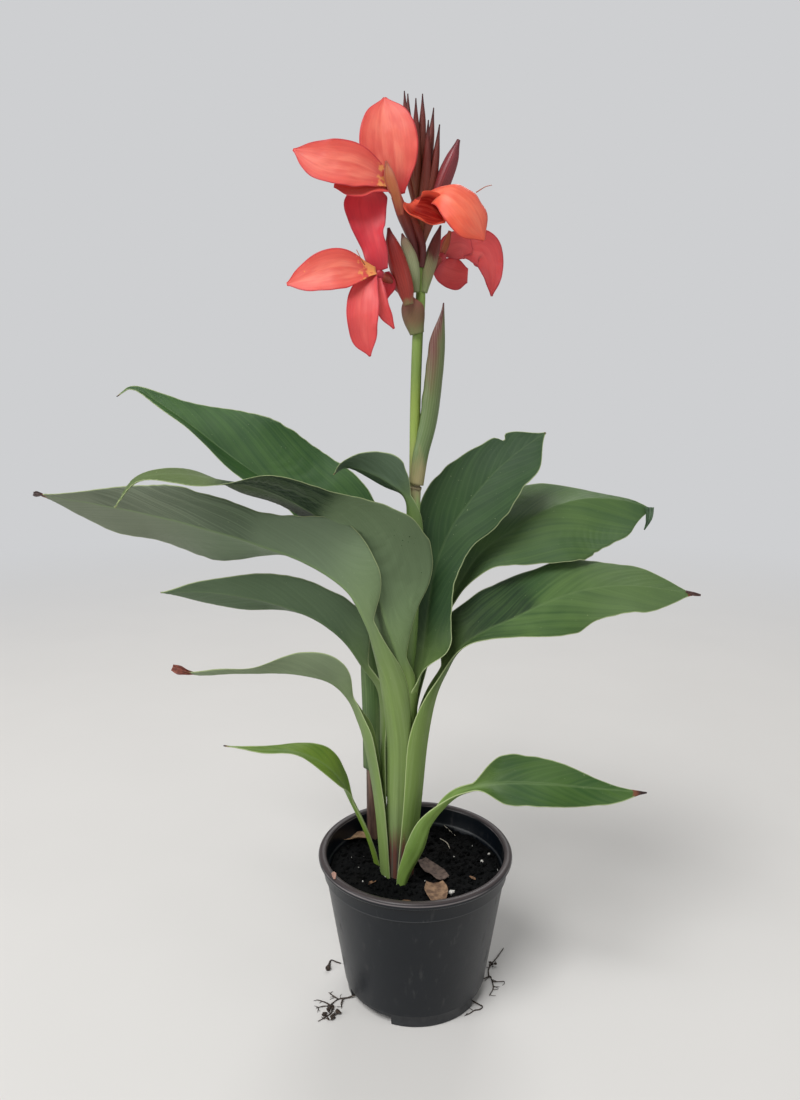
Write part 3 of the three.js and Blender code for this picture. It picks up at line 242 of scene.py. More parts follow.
FLOWERS = {
    "top_left": {
        "tube": [
            (0, -8, 731, 2.6), (-5, -13, 749, 4), (-13, -20, 768, 5.4), (-19, -24, 783, 4.6),
        ],
        "petals": [
            {
                "stations": [
                    (-18, -23, 784, 0.2, -1, 0.1), (-22, -27, 802, 0.1, -1, 0),
                    (-25, -29, 821, 0, -1, 0.1), (-27, -27, 842, 0, -1, 0.2),
                    (-29, -20, 864, 0, -0.9, 0.4),
                ],
                "half": (7, 14, 20.5, 24.5, 25.5, 24.5, 21, 14.5, 1.5), "wrap": (50, 24, 18, 16),
            },
            {
                "stations": [
                    (-23, -26, 791, 0, -0.9, 0.4), (-36, -35, 797, 0, -0.95, 0.3),
                    (-56, -43, 802, 0, -0.95, 0.3), (-80, -46, 805, 0, -0.95, 0.3),
                    (-106, -44, 815, -0.2, -0.9, 0.3),
                ],
                "half": (3, 9, 15, 19.5, 21, 20.5, 17.5, 11, 1), "wrap": (40, 24, 20, 16),
            },
            {
                "stations": [
                    (-23, -26, 787, 0, -0.8, 0.5), (-36, -37, 787, 0, -0.8, 0.5),
                    (-54, -42, 784, -0.1, -0.8, 0.5), (-72, -44, 786, -0.2, -0.8, 0.5),
                ],
                "half": (5, 8, 10.5, 10, 2), "wrap": (40, 20),
            },
        ],
    },
    "lower_left": {
        "tube": [
            (0, -9, 680, 3), (-10, -11, 700, 3.6), (-22, -21, 711, 4.2), (-34, -32, 716, 3.4),
        ],
        "petals": [
            {
                "stations": [
                    (-32, -35, 719, -0.3, -0.9, 0.1), (-37, -37, 736, -0.3, -0.9, 0),
                    (-41.5, -35, 752, -0.2, -0.95, 0), (-45, -30, 770, -0.1, -0.9, 0.3),
                    (-46, -22, 788, 0, -0.6, 0.8),
                ],
                "half": (8, 11.5, 12.5, 14.5, 17.5, 19.5, 14), "wrap": (50, 24, 16, 16),
                "wave": (3, 2, 0.2),
            },
            {
                "stations": [
                    (-37, -36, 718, 0, -0.9, 0.4), (-55, -44, 718, 0, -0.95, 0.3),
                    (-72, -50, 716.5, 0, -0.95, 0.3), (-92, -52, 711, 0, -0.95, 0.3),
                    (-113, -50, 705, -0.2, -0.9, 0.3),
                ],
                "half": (4, 8.5, 15, 18.5, 19, 17.5, 14, 9, 1.5), "wrap": (40, 24, 20, 20),
            },
            {
                "stations": [
                    (-40, -36, 716, 0, -0.9, 0.4), (-46, -46, 700, 0, -1, 0.3),
                    (-48, -52, 680, 0, -1, 0.1), (-47, -50, 662, 0, -1, -0.1),
                    (-42, -46, 645, 0, -1, -0.2),
                ],
                "half": (5, 10, 13.5, 14.2, 13, 10, 1), "wrap": (40, 20, 20, 20),
            },
            {
                "stations": [
                    (-35, -35, 713, 0.3, -0.9, 0.3), (-33, -41, 698, 0.3, -0.9, 0.2),
                    (-30, -43, 684, 0.2, -1, 0), (-21, -41, 669, 0.2, -1, 0),
                ],
                "half": (3, 5, 6, 5.5, 1), "wrap": (30, 24),
            },
        ],
    },
    "upper_right": {
        "tube": [
            (4, -8, 726, 2.6), (4, -11, 744, 3.4), (-2, -14, 760, 4), (-8, -17, 773, 3.4),
        ],
        "petals": [
            {
                "stations": [
                    (-6, -14, 778, 0, -0.8, 0.5), (10, -20, 784, 0, -0.8, 0.5),
                    (26, -33, 783, 0.1, -0.9, 0.4), (44, -37, 767, 0.3, -0.9, 0.3),
                    (58, -30, 745, 0.5, -0.8, 0.1),
                ],
                "half": (4, 6, 11, 17, 20.5, 21.5, 18, 2), "wrap": (-10, -24, -32, -24),
            },
            {
                "stations": [
                    (-7, -20, 778, 0.2, -0.9, 0.3), (-3, -25, 772, 0.2, -0.95, 0.3),
                    (8, -27, 768, 0.2, -0.95, 0.3), (24, -27, 761, 0.3, -0.9, 0.3),
                ],
                "half": (6, 15, 20, 17, 2), "wrap": (60, 76, 70, 50),
            },
        ],
    },
    "right_behind": {
        "tube": [
            (4, -3, 704, 2.6), (11, 5, 722, 3.4), (18, 11, 734, 3.6), (23, 14, 739, 3),
        ],
        "petals": [
            {
                "stations": [
                    (22, 15, 741, 0, -0.9, 0.3), (32, 20, 747, 0, -0.9, 0.2),
                    (42, 24, 750, 0, -0.9, 0.3), (52, 26, 746, 0.2, -0.9, 0.2),
                ],
                "half": (4, 12, 15, 13, 3), "wrap": (30, 18),
            },
            {
                "stations": [
                    (19, 15, 731, 0, -0.9, 0.2), (26, 18, 727, 0, -0.9, 0.2),
                    (35, 20, 724, 0, -0.9, 0.2), (48, 21, 723, 0, -0.9, 0.2),
                ],
                "half": (9, 13, 15, 14, 7), "wrap": (12, 16),
            },
            {
                "stations": [
                    (24, 17, 742, 0, -1, 0.2), (48, 27, 749, 0, -1, 0.1), (65, 31, 747, 0, -1, 0.1),
                    (72, 32, 727, 0.1, -1, 0), (72, 31, 706, 0.1, -1, 0),
                ],
                "half": (4, 7, 13, 17, 15, 12, 7, 1), "wrap": (30, 16, 14, 20), "wave": (3, 2, 0.4),
            },
            {
                "stations": [
                    (23, 13, 740, 0, -1, 0), (27, 8, 750, 0, -1, 0.2), (30, 4, 760, 0, -0.9, 0.4),
                ],
                "half": (3, 3.6, 1.5), "wrap": (40, 40),
            },
        ],
    },
}

BRACTS = {
    "bract_left": [
        (-8, -19, 692, 4.5), (-11.5, -21, 706, 7.4), (-17, -23, 724, 8), (-22.5, -23, 742, 6),
        (-26, -22, 757, 1.2),
    ],
    "bract_middle": [
        (-1, -11, 704, 3), (-3, -14, 718, 5), (-6, -17, 732, 5.5), (-11, -19, 744, 4),
        (-14, -19, 753, 0.8),
    ],
    "bract_right": [
        (6, -8, 704, 3), (9, -7, 720, 5.2), (13, -6, 736, 5.8), (17, -5, 750, 4), (21, -4, 763, 0.8),
    ],
}

LOW_BRACT = {
    "stations": [
        (-1, -13, 667, 0.2, 1, 0), (-4, -14.5, 679, 0.2, 1, 0), (-7, -16, 691, 0.3, 0.9, 0.2),
        (-9, -17, 701, 0.4, 0.8, 0.3),
    ],
    "half": (9, 14, 13, 3), "wrap": (80, 84, 66, 40),
}

SPATHE = {
    "stations": [
        (5.9, -6, 528, -1, 0, 0), (10.4, -6, 556, -1, 0, 0), (17.5, -7, 584, -1, 0, 0),
        (22, -8, 616, -1, 0, 0.1), (25, -8, 655, -1, 0, 0.1), (24, -8, 695, -1, 0, 0),
    ],
    "half": (17.3, 20, 22, 22, 18.5, 1), "wrap": (150, 150, 150, 150, 145, 80),
}

SPIKE_CORE = [
    (2, -6, 736.3, 3.4), (1, -6, 762, 3.6), (-1, -6, 788, 3), (-4, -6, 822, 1.4),
]

FAT_BUD = [
    (4, -6, 746, 2.4), (12, -7, 772, 5.4), (22, -7, 799, 7), (30, -7, 818, 5.8), (36, -7, 834, 1.6),
]

BUD_TIPS = [
    (19, -9, 846), (9, -14, 848), (9, 6, 850), (-6, 5, 856), (-14, 2, 863), (14, -2, 862),
    (-2, -13, 866), (-9, -9, 871), (4, -6, 872), (-12, -4, 875),
]

ROOTS = {
    "roots_left": [
        [(-56, -29, 6.5), (-70, -32.5, 2.4), (-80, -34, 1.2), (-87, -42, 1.2), (-95, -44, 1.2),
         (-101, -46, 1.2)],
        [(-79, -34.2, 1.4), (-85, -29, 1.2), (-90, -24, 1.2)],
        [(-86.4, -42.6, 1.3), (-93, -38, 1.2), (-100, -35, 1.2)],
        [(-85.4, -40, 1.35), (-85, -52, 1.2), (-90, -58, 1.2), (-97, -64, 1.2)],
        [(-74, -33.4, 1.8), (-76, -39, 1.2), (-75, -45, 1.2)],
    ],
    "roots_right": [
        [(59, -12, 6.5), (74, -4, 2.4), (81, 0, 1.2), (83, -7.5, 1.2), (95, -7.5, 1.2)],
        [(82.4, -5.4, 1.35), (82, -18, 1.2), (77, -28, 1.2)],
        [(79.4, -1.2, 1.5), (80, 10, 1.2), (84, 19, 1.2), (92, 31, 1.2), (101, 46, 1.2)],
    ],
    "roots_front_right": [
        [(50, -34, 6.5), (62, -40, 2.4), (68, -44, 1.2), (65, -48, 1.2), (60, -49, 1.2), (55, -53, 1.2),
         (50, -56, 1.2)],
    ],
}


# ---------------------------------------------------------------- curves and grids
def ease(t):
    t = np.clip(t, 0, 1)
    return t * t * (3 - 2 * t)


def mix(a, b, t):
    return a + (b - a) * t


def unit(vectors):
    return vectors / np.maximum(np.linalg.norm(vectors, axis=-1, keepdims=True), 1e-9)


def spline(points, places, ends="straight"):
    """A Catmull-Rom curve through evenly numbered points, read at places from 0 to 1."""
    points = np.asarray(points, float)
    if ends == "straight":
        first, last = 2 * points[0] - points[1], 2 * points[-1] - points[-2]
    else:
        first, last = points[0], points[-1]
    padded = np.concatenate(([first], points, [last]))
    steps = np.clip(np.asarray(places, float), 0, 1) * (len(points) - 1)
    at = np.minimum(steps.astype(int), len(points) - 2)
    t = steps - at
    if points.ndim > 1:
        t = t[:, None]
    before, start, end, after = (padded[at + k] for k in range(4))
    leave, arrive = (end - before) / 2, (after - start) / 2
    return (
        start
        + leave * t
        + (3 * (end - start) - 2 * leave - arrive) * t**2
        + (2 * (start - end) + leave + arrive) * t**3
    )


def smoothly(values, t):
    """The value at t of a smooth curve through numbers spaced evenly from 0 to 1."""
    return spline(values, t, ends="flat")


def path_frames(points, facing, count):
    """Middle, direction, facing, sideways direction and length so far at count + 1 places on a path."""
    places = np.linspace(0, 1, count + 1)
    step = 1e-3
    centre = spline(points, places)
    tangent = unit(spline(points, places + step) - spline(points, places - step))
    face = spline(facing, places)
    face = unit(face - tangent * (face * tangent).sum(1)[:, None])
    length = np.concatenate(([0], np.cumsum(np.linalg.norm(np.diff(centre, axis=0), axis=1))))
    across = np.cross(face, tangent)
    return {"centre": centre, "tangent": tangent, "face": face, "across": across, "length": length}


def strip_grid(frames, s, width, wrap, fold, lift=0):
    """Points across a strip at s from -1 to 1: each half is folded up at the middle and curls round."""
    curl, bend = np.radians(wrap), np.radians(fold)
    curl = np.where(np.abs(curl) < 1e-3, 1e-3, curl)
    reach = bend + curl * np.abs(s)
    out = width * (np.sin(reach) - np.sin(bend)) / curl * np.sign(s)
    up = width * (np.cos(bend) - np.cos(reach)) / curl + lift
    centre, across, face = (frames[key][:, None, :] for key in ("centre", "across", "face"))
    return centre + across * out[..., None] + face * up[..., None]


def grid_normals(grid):
    ahead = np.gradient(grid, axis=0)
    aside = np.gradient(grid, axis=1)
    return unit(np.cross(ahead, aside))


def columns(count, crowd):
    """Places across a strip from -1 to 1, crowded towards the middle where crowd is above 0."""
    u = np.linspace(-1, 1, count)
    return np.sign(u) * np.abs(u) ** (1 + crowd)


def wave_height(wave, t, s):
    """Waves along a blade's margins: their height in mm, how many there are, and where they start."""
    height, count, start = wave
    turns = count * t + start + np.where(s > 0, 0, WAVE_SHIFT)
    return height * s**2 * np.sin(2 * np.pi * turns) * np.sin(np.pi * t)


def wrinkle(grid, size, seed):
    """Smooth noise from -1 to 1 over a grid of points, for features of a size in mm."""
    flat = grid.reshape(-1, 3) / size + seed
    return np.array([noise.noise(Vector(p)) for p in flat]).reshape(grid.shape[:2])


# ---------------------------------------------------------------- meshes
def new_object(name, data):
    thing = bpy.data.objects.new(name, data)
    bpy.context.scene.collection.objects.link(thing)
    return thing


def new_piece(name, vertices, faces, values=None, smooth=True):
    """A mesh object from points in mm, with named numbers on its points for the material to read."""
    mesh = bpy.data.meshes.new(name)
    mesh.from_pydata((np.asarray(vertices) * MM).tolist(), [], faces)
    for key, numbers in (values or {}).items():
        layer = mesh.attributes.new(key, "FLOAT", "POINT")
        layer.data.foreach_set("value", np.asarray(numbers, np.float32).ravel())
    if smooth:
        mesh.shade_smooth()
    mesh.validate()
    return new_object(name, mesh)


def grid_faces(rows, cols, start=0, wrap=False):
    """Quads between neighbouring points of a grid. wrap joins the last column to the first."""
    i = np.arange(rows - 1)[:, None] * cols
    j = np.arange(cols if wrap else cols - 1)[None, :]
    k = (j + 1) % cols
    quads = np.stack([i + j, i + cols + j, i + cols + k, i + k], axis=-1)
    return (quads.reshape(-1, 4) + start).tolist()


def closed_rings(rings, ends):
    """Points and faces of a body made of rings of points, closed by a point at each end."""
    count, sides = rings.shape[:2]
    faces = grid_faces(count, sides, wrap=True)
    first, last, top = count * sides, count * sides + 1, (count - 1) * sides
    for j in range(sides):
        k = (j + 1) % sides
        faces += [[first, j, k], [last, top + k, top + j]]
    return np.concatenate((rings.reshape(-1, 3), ends)), faces


def sheet(grid, up, down, values):
    """Points, faces and values of a closed blade: a grid's points moved up and down along its normals."""
    rows, cols = grid.shape[:2]
    normals = grid_normals(grid)
    upper, lower = grid + normals * up[..., None], grid - normals * down[..., None]
    points = np.concatenate((upper.reshape(-1, 3), lower.reshape(-1, 3)))
    count = rows * cols
    faces = grid_faces(rows, cols)
    faces += [quad[::-1] for quad in grid_faces(rows, cols, count)]
    rim = [i * cols for i in range(rows)]
    rim += [(rows - 1) * cols + j for j in range(1, cols)]
    rim += [i * cols + cols - 1 for i in range(rows - 2, -1, -1)]
    rim += list(range(cols - 2, 0, -1))
    for a, b in zip(rim, rim[1:] + rim[:1]):
        faces.append([b, a, a + count, b + count])
    doubled = {key: np.tile(np.broadcast_to(v, (rows, cols)).ravel(), 2) for key, v in values.items()}
    doubled["upper"] = np.repeat([1.0, 0.0], count)
    return points, faces, doubled


def tube(points, radii, count=60, sides=24, flatten=1, ridge=None, side=(0, 1, 0)):
    """A closed round piece along a curve. ridge(angle, place) scales its radius round and along."""
    frames = path_frames(points, np.tile(side, (len(points), 1)), count)
    places = np.linspace(0, 1, count + 1)
    radius = np.maximum(smoothly(radii, places), THINNEST)[:, None]
    angle = np.linspace(0, 2 * np.pi, sides, endpoint=False)[None, :]
    if ridge is not None:
        radius = radius * ridge(angle, places[:, None])
    across, face = frames["across"][:, None, :], frames["face"][:, None, :]
    x, y = radius * np.cos(angle), -radius * np.sin(angle) * flatten
    rings = frames["centre"][:, None, :] + across * x[..., None] + face * y[..., None]
    points, faces = closed_rings(rings, frames["centre"][[0, -1]])
    grow = np.concatenate((np.repeat(places, sides), [0, 1]))
    around = np.concatenate((np.tile(angle.ravel() / (2 * np.pi), count + 1), [0, 0]))
    return points, faces, {"grow": grow, "around": around}


def tapered(points, **shape):
    """A tube along points that carry their radii: x, y, z, radius."""
    path = np.array(points, float)
    return tube(path[:, :3], path[:, 3], **shape)


def merged(parts):
    """Several (points, faces, values) put together as one."""
    points, faces, start = [], [], 0
    for part_points, part_faces, _ in parts:
        points.append(part_points)
        faces += [[index + start for index in face] for face in part_faces]
        start += len(part_points)
    keys = sorted({key for _, _, values in parts for key in values})
    values = {
        key: np.concatenate([
            np.broadcast_to(part_values.get(key, 0), len(part_points))
            for part_points, _, part_values in parts
        ])
        for key in keys
    }
    return np.concatenate(points), faces, values


def dress(piece, material, slot, *nodes):
    """Gives a piece its material, lets it ride on the body, and names the nodes it replaces; slot is not
    used.
    """
    piece.data.materials.clear()
    piece.data.materials.append(material)
    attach(piece, "root")
    if nodes:
        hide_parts(*nodes)
    return piece


def dressed(name, mesh, material, slot, *nodes, smooth=True):
    """A new piece from a mesh's points, faces and values, dressed at once."""
    return dress(new_piece(name, *mesh, smooth=smooth), material, slot, *nodes)


# ---------------------------------------------------------------- materials
def rgb(red, green, blue):
    """A colour given as it looks on screen (0 to 255), as the shader's linear numbers."""
    linear = [
        ((c / 255 + 0.055) / 1.055) ** 2.4 if c > 10 else c / 255 / 12.92 for c in (red, green, blue)
    ]
    return (*linear, 1.0)


class Number:
    """A number that a shader's nodes work out. Sums and products of it are further nodes."""

    def __init__(self, shader, socket):
        self.shader = shader
        self.socket = socket

    def __add__(self, other):
        return self.shader.math("ADD", self, other)

    def __sub__(self, other):
        return self.shader.math("SUBTRACT", self, other)

    def __rsub__(self, other):
        return self.shader.math("SUBTRACT", other, self)

    def __mul__(self, other):
        return self.shader.math("MULTIPLY", self, other)

    def __truediv__(self, other):
        return self.shader.math("DIVIDE", self, other)


class Shader:
    """A material's nodes. Each method adds a node or two and returns the number or colour they give."""

    def __init__(self, name):
        self.material = bpy.data.materials.new(name)
        self.material.use_nodes = True
        self.tree = self.material.node_tree
        self.tree.nodes.clear()
        self.surface = self.tree.nodes.new("ShaderNodeBsdfPrincipled")
        output = self.tree.nodes.new("ShaderNodeOutputMaterial")
        self.tree.links.new(self.surface.outputs["BSDF"], output.inputs["Surface"])
        self.place = self.tree.nodes.new("ShaderNodeTexCoord").outputs["Object"]

    def put(self, socket, value):
        if isinstance(value, Number):
            value = value.socket
        if isinstance(value, bpy.types.NodeSocket):
            self.tree.links.new(value, socket)
        else:
            socket.default_value = value

    def value(self, name):
        """A number that new_piece stored on the mesh's points."""
        node = self.tree.nodes.new("ShaderNodeAttribute")
        node.attribute_name = name
        return Number(self, node.outputs["Fac"])

    def math(self, operation, *values):
        node = self.tree.nodes.new("ShaderNodeMath")
        node.operation = operation
        for socket, value in zip(node.inputs, values):
            self.put(socket, value)
        return Number(self, node.outputs[0])

    def smooth(self, value, low, high):
        """0 where value is at low, 1 where it is at high, and smooth between. low may be above high."""
        node = self.tree.nodes.new("ShaderNodeMapRange")
        node.interpolation_type = "SMOOTHSTEP"
        self.put(node.inputs["Value"], value)
        node.inputs["From Min"].default_value = min(low, high)
        node.inputs["From Max"].default_value = max(low, high)
        node.inputs["To Min"].default_value = 0 if low < high else 1
        node.inputs["To Max"].default_value = 1 if low < high else 0
        return Number(self, node.outputs["Result"])

    def mix(self, factor, a, b, how="MIX"):
        node = self.tree.nodes.new("ShaderNodeMix")
        node.data_type = "RGBA"
        node.blend_type = how
        for index, value in ((0, factor), (6, a), (7, b)):
            self.put(node.inputs[index], value)
        return node.outputs[2]

    def clouds(self, vector, scale, detail):
        node = self.tree.nodes.new("ShaderNodeTexNoise")
        self.put(node.inputs["Vector"], vector)
        node.inputs["Scale"].default_value = scale
        node.inputs["Detail"].default_value = detail
        return Number(self, node.outputs["Fac"])

    def noise(self, size, detail=3, stretch=(1, 1, 1)):
        """Cloudy noise from 0 to 1 with features of a size in mm."""
        scaled = self.tree.nodes.new("ShaderNodeVectorMath")
        scaled.operation = "MULTIPLY"
        self.put(scaled.inputs[0], self.place)
        scaled.inputs[1].default_value = stretch
        return self.clouds(scaled.outputs[0], 1 / (size * MM), detail)

    def bands(self, across, along, size, stretch, side=0.0):
        """Noise from 0 to 1 in bands: size wide in across (mm), and longer in along by 1 / stretch."""
        joined = self.tree.nodes.new("ShaderNodeCombineXYZ")
        for socket, value in zip(joined.inputs, (across, along * stretch, side)):
            self.put(socket, value)
        return self.clouds(joined.outputs[0], 1 / size, 3)

    def stripes(self, value, spacing, sharp):
        """Lines across a value that counts mm: 0 between the lines, 1 on them."""
        level = self.math("COSINE", value * (2 * math.pi / spacing)) * 0.5 + 0.5
        return self.math("POWER", level, sharp)

    def height(self):
        """Height above the floor in mm."""
        split = self.tree.nodes.new("ShaderNodeSeparateXYZ")
        self.put(split.inputs[0], self.place)
        return Number(self, split.outputs["Z"]) * (1 / MM)

    def level(self, height, outer, inner):
        """1 within inner of a height in mm, and 0 beyond outer."""
        return self.smooth(self.math("ABSOLUTE", self.height() - height), outer, inner)

    def done(self, colour, roughness, bump=None, depth=0.2, **constants):
        """Sets the surface. depth is the bump's height in mm, and constants are plain shader values."""
        self.put(self.surface.inputs["Base Color"], colour)
        self.put(self.surface.inputs["Roughness"], roughness)
        for key, value in constants.items():
            self.surface.inputs[key.replace("_", " ")].default_value = value
        if bump is not None:
            node = self.tree.nodes.new("ShaderNodeBump")
            self.put(node.inputs["Height"], bump)
            node.inputs["Distance"].default_value = depth * MM
            self.tree.links.new(node.outputs["Normal"], self.surface.inputs["Normal"])
        return self.material


STALK_GREEN = rgb(118, 142, 76)
SHEATH_LINE = rgb(142, 162, 104)
UNDER_GREEN = rgb(96, 118, 92)
RIB_GREEN = rgb(118, 142, 92)
# the dark green of painted shade on the blades, also used for their darker pleat bands
DEEP_GREEN = rgb(22, 42, 26)
MARGIN = rgb(176, 190, 138)
FOOT_RED = rgb(97, 46, 50)
FOOT_PURPLE = rgb(79, 68, 70)
FOOT_TINT = (212, 176)  # heights in mm between which the foot's red begins
DRY_BROWN = rgb(116, 68, 46)
DRY_DARK = rgb(44, 28, 26)
SHADE_FADE = 0.07  # how far along the blade a shaded stretch fades in and out
HALF_APART = 300  # moves the left half's noise away from the right half's


def blade_colour(s, dark, light, under, far, base_shade, shade):
    """Bands of tones along the veins above, one tone below, darker pleats, and painted shade on base and
    blade.
    """
    vein, aside, grow, side = (s.value(key) for key in ("vein", "aside", "grow", "side"))
    bands = s.bands(vein, aside, 15, 0.22, side * HALF_APART)
    top = s.mix(s.smooth(s.noise(60, 2) * 0.5 + bands * 0.5, 0.36, 0.64), dark, light)
    blade = s.mix(s.value("upper"), under, top)
    if far:
        blade = s.mix(s.smooth(grow, 0.4, 0.75) * 0.6, blade, far)
    pleat = s.bands(vein, aside, 6, 0.12, side * HALF_APART)
    mottle = s.smooth(pleat, 0.35, 0.65) * 0.3 + s.noise(10, 5) * 0.1
    blade = s.mix(mottle, blade, s.mix(0.35, blade, DEEP_GREEN))
    # painted shade: the blade darkens towards its base, where the leaves and folds above shade it
    blade = s.mix(s.smooth(grow, 0.35, 0.05) * base_shade, blade, DEEP_GREEN)
    # painted shade over a stretch of the blade, mostly on its left half, a little lighter on the pleats
    if shade:
        amount, other, start, end = shade
        along = s.smooth(grow, start, start + SHADE_FADE) * s.smooth(grow, end + SHADE_FADE, end)
        pleats = s.smooth(pleat, 0.45, 0.62) * -0.4 + amount
        blade = s.mix((side * (1 - other) + other) * along * pleats, blade, DEEP_GREEN)
    return blade


def sheath_colour(s, light, stalk, foot):
    """Green with pale fibres lengthwise, some of the blade's tone, and a red and purple foot."""
    fibre = s.bands(s.value("aside"), s.height(), 2.2, 0.03)
    sheath = s.mix(s.smooth(fibre, 0.45, 0.65) * 0.3, stalk, SHEATH_LINE)
    sheath = s.mix(s.smooth(s.noise(30, 2, stretch=(1, 1, 0.3)), 0.4, 0.7) * 0.35, sheath, light)
    if foot:
        streaks = s.noise(4, 3, stretch=(1, 1, 0.08))
        tint = s.mix(s.smooth(streaks, 0.42, 0.6), FOOT_RED, FOOT_PURPLE)
        sheath = s.mix(s.smooth(streaks * 40 + s.height(), *FOOT_TINT) * foot, sheath, tint)
    return sheath


def leaf_material(
    name, dark, light, under=UNDER_GREEN, stalk=STALK_GREEN, far=None, rib=0.25, base_shade=0.25,
    foot=0.0, brown=6.0, shade=None, gloss=0.35,
):
    """A living leaf: veined blade, pale margin, light midrib, green stalk and sheath, and a dry brown tip.

    rib is how much the midrib shows, base_shade how much painted shade darkens the blade's base, foot how
    red the sheath's foot is, brown how long the dry tip is in mm, and far the tint of the blade's outer
    part.
    shade is how dark painted shade makes the left half, the right half's share of that, and between which
    places along the blade.
    """
    s = Shader(name)
    grow, aside, totip = s.value("grow"), s.value("aside"), s.value("totip")
    vein = s.value("vein") + s.noise(9, 2) * 1.2
    fine = s.stripes(vein, 2.1, 2)
    blade = blade_colour(s, dark, light, under, far, base_shade, shade)
    blade = s.mix(fine * 0.06, blade, RIB_GREEN)
    blade = s.mix(s.stripes(vein, VEIN_STEP, 4) * 0.05, blade, RIB_GREEN)
    midrib = s.smooth(aside / (grow * -2.0 + 2.8), 1, 0.35)
    blade = s.mix(midrib * rib, blade, RIB_GREEN)
    opened = s.smooth(grow * 1.6 + s.value("rise"), 0.6, 1.4)
    colour = s.mix(opened, sheath_colour(s, light, stalk, foot), blade)
    colour = s.mix(s.smooth(s.value("edge"), 1.1, 0.3) * 0.75, colour, MARGIN)
    specks = s.smooth(s.noise(2.2, 1), 0.76, 0.8)
    colour = s.mix(specks * 0.25, colour, MARGIN)
    dry = s.mix(s.smooth(totip, brown, brown * 0.4), DRY_BROWN, DRY_DARK)
    colour = s.mix(s.smooth(s.noise(6, 3) * 14 + totip, brown + 9, brown + 6), colour, dry)
    relief = fine + s.noise(1.5, 2) * 0.6
    return s.done(colour, s.noise(12, 2) * 0.2 + 0.4, relief, 0.08, Specular_IOR_Level=gloss)


CORAL = rgb(222, 88, 76)
CORAL_PALE = rgb(239, 123, 102)
CORAL_EDGE = rgb(186, 42, 52)
CRIMSON = rgb(200, 48, 60)
ORANGE_RED = rgb(236, 94, 66)
THROAT_YELLOW = rgb(238, 166, 90)
PETAL_BACK = rgb(196, 70, 74)
STAMEN_BROWN = rgb(172, 98, 58)


def petal_material(name, main, pale, edge, back=PETAL_BACK, throat=0.0, rim=1.7, gloss=0.35):
    """A petal: silky, pale along its middle and deeper at its edge and foot, with faint lengthwise veins.

    throat is how far out its yellow streaks reach, as a share of its length, and rim how wide its edge
    tint is, in mm.
    """
    s = Shader(name)
    grow, totip, rim_distance = s.value("grow"), s.value("totip"), s.value("edge")
    across = s.value("around") * 30
    lines = s.smooth(s.bands(across, totip, 1.6, 0.06), 0.4, 0.62)
    broad = s.smooth(s.bands(across, totip, 5, 0.15), 0.35, 0.65)
    colour = s.mix(s.smooth(rim_distance, 1.5, 13) * (broad * 0.75 + 0.25), main, pale)
    colour = s.mix(s.smooth(rim_distance, rim, rim * 0.35) * 0.8, colour, edge)
    colour = s.mix(s.smooth(grow, 0.3, 0.02) * 0.7, colour, edge)
    colour = s.mix(lines * 0.16, colour, edge)
    colour = s.mix((1 - s.value("upper")) * 0.55, colour, back)
    if throat:
        reach = s.smooth(grow, throat, 0) * 0.45 + s.noise(4.5, 3)
        colour = s.mix(s.smooth(reach, 0.7, 0.9) * 0.8, colour, THROAT_YELLOW)
    return s.done(
        colour, s.noise(22, 2) * 0.15 + 0.4, lines * 0.3 + s.noise(5, 2), 0.06,
        Specular_IOR_Level=gloss, Subsurface_Weight=0.2, Subsurface_Scale=0.003, Sheen_Weight=gloss * 0.4,
    )


def streaked_material(name, size, colours):
    """A stem, bud or bract: colours by their places along it, with lengthwise streaks of a size in mm."""
    s = Shader(name)
    streaks = s.noise(size, 4, stretch=(1, 1, 0.25))
    place = (streaks - 0.5) * 0.35 + s.value("grow")
    stops = list(colours.items())
    colour = stops[0][1]
    for (low, _), (high, shade) in zip(stops, stops[1:]):
        colour = s.mix(s.smooth(place, low, high), colour, shade)
    ribs = s.stripes(s.value("around"), 1 / 22, 2)
    colour = s.mix((ribs + streaks * 0.6) * 0.16, colour, rgb(60, 40, 30), how="MULTIPLY")
    return s.done(colour, 0.45, ribs + streaks, 0.12, Specular_IOR_Level=0.45)


def pot_material():
    """Dark dusty plastic: scuffs, rim wear with a painted highlight, a pale step line and splashes near
    the floor.
    """
    s = Shader("pot_plastic")
    fine, cloud = s.noise(0.9, 4), s.noise(38, 4)
    scuffs = s.smooth(s.noise(7, 5, stretch=(1, 1, 0.35)), 0.56, 0.72)
    dust = scuffs * s.smooth(cloud, 0.35, 0.7)
    colour = s.mix(cloud, rgb(7, 13, 20), rgb(14, 20, 27))
    colour = s.mix(dust * 0.24, colour, rgb(104, 102, 100))
    rim_top = s.smooth(s.height(), POT["height"] - 2.2, POT["height"] - 0.8)
    colour = s.mix(rim_top * 0.85, colour, rgb(72, 64, 64))
    # painted highlight: a pale line round the rim's outer shoulder for the light its edge catches, broken
    # up like wear
    rim_wear_and_highlight = s.level(POT["height"] - 2.6, 0.9, 0.2)
    colour = s.mix(rim_wear_and_highlight * s.smooth(cloud, 0.3, 0.6), colour, rgb(112, 106, 106))
    colour = s.mix(s.level(POT_STEP, 1.2, 0.3) * 0.3, colour, rgb(98, 100, 102))
    near_floor = s.smooth(s.noise(12, 4) * 26 + s.height(), 30, 12)
    colour = s.mix(near_floor * 0.4, colour, rgb(66, 68, 70))
    rough = dust * 0.25 + (fine * 0.1 + 0.3)
    return s.done(colour, rough, fine * 0.3 + cloud, 0.25, Specular_IOR_Level=0.34)


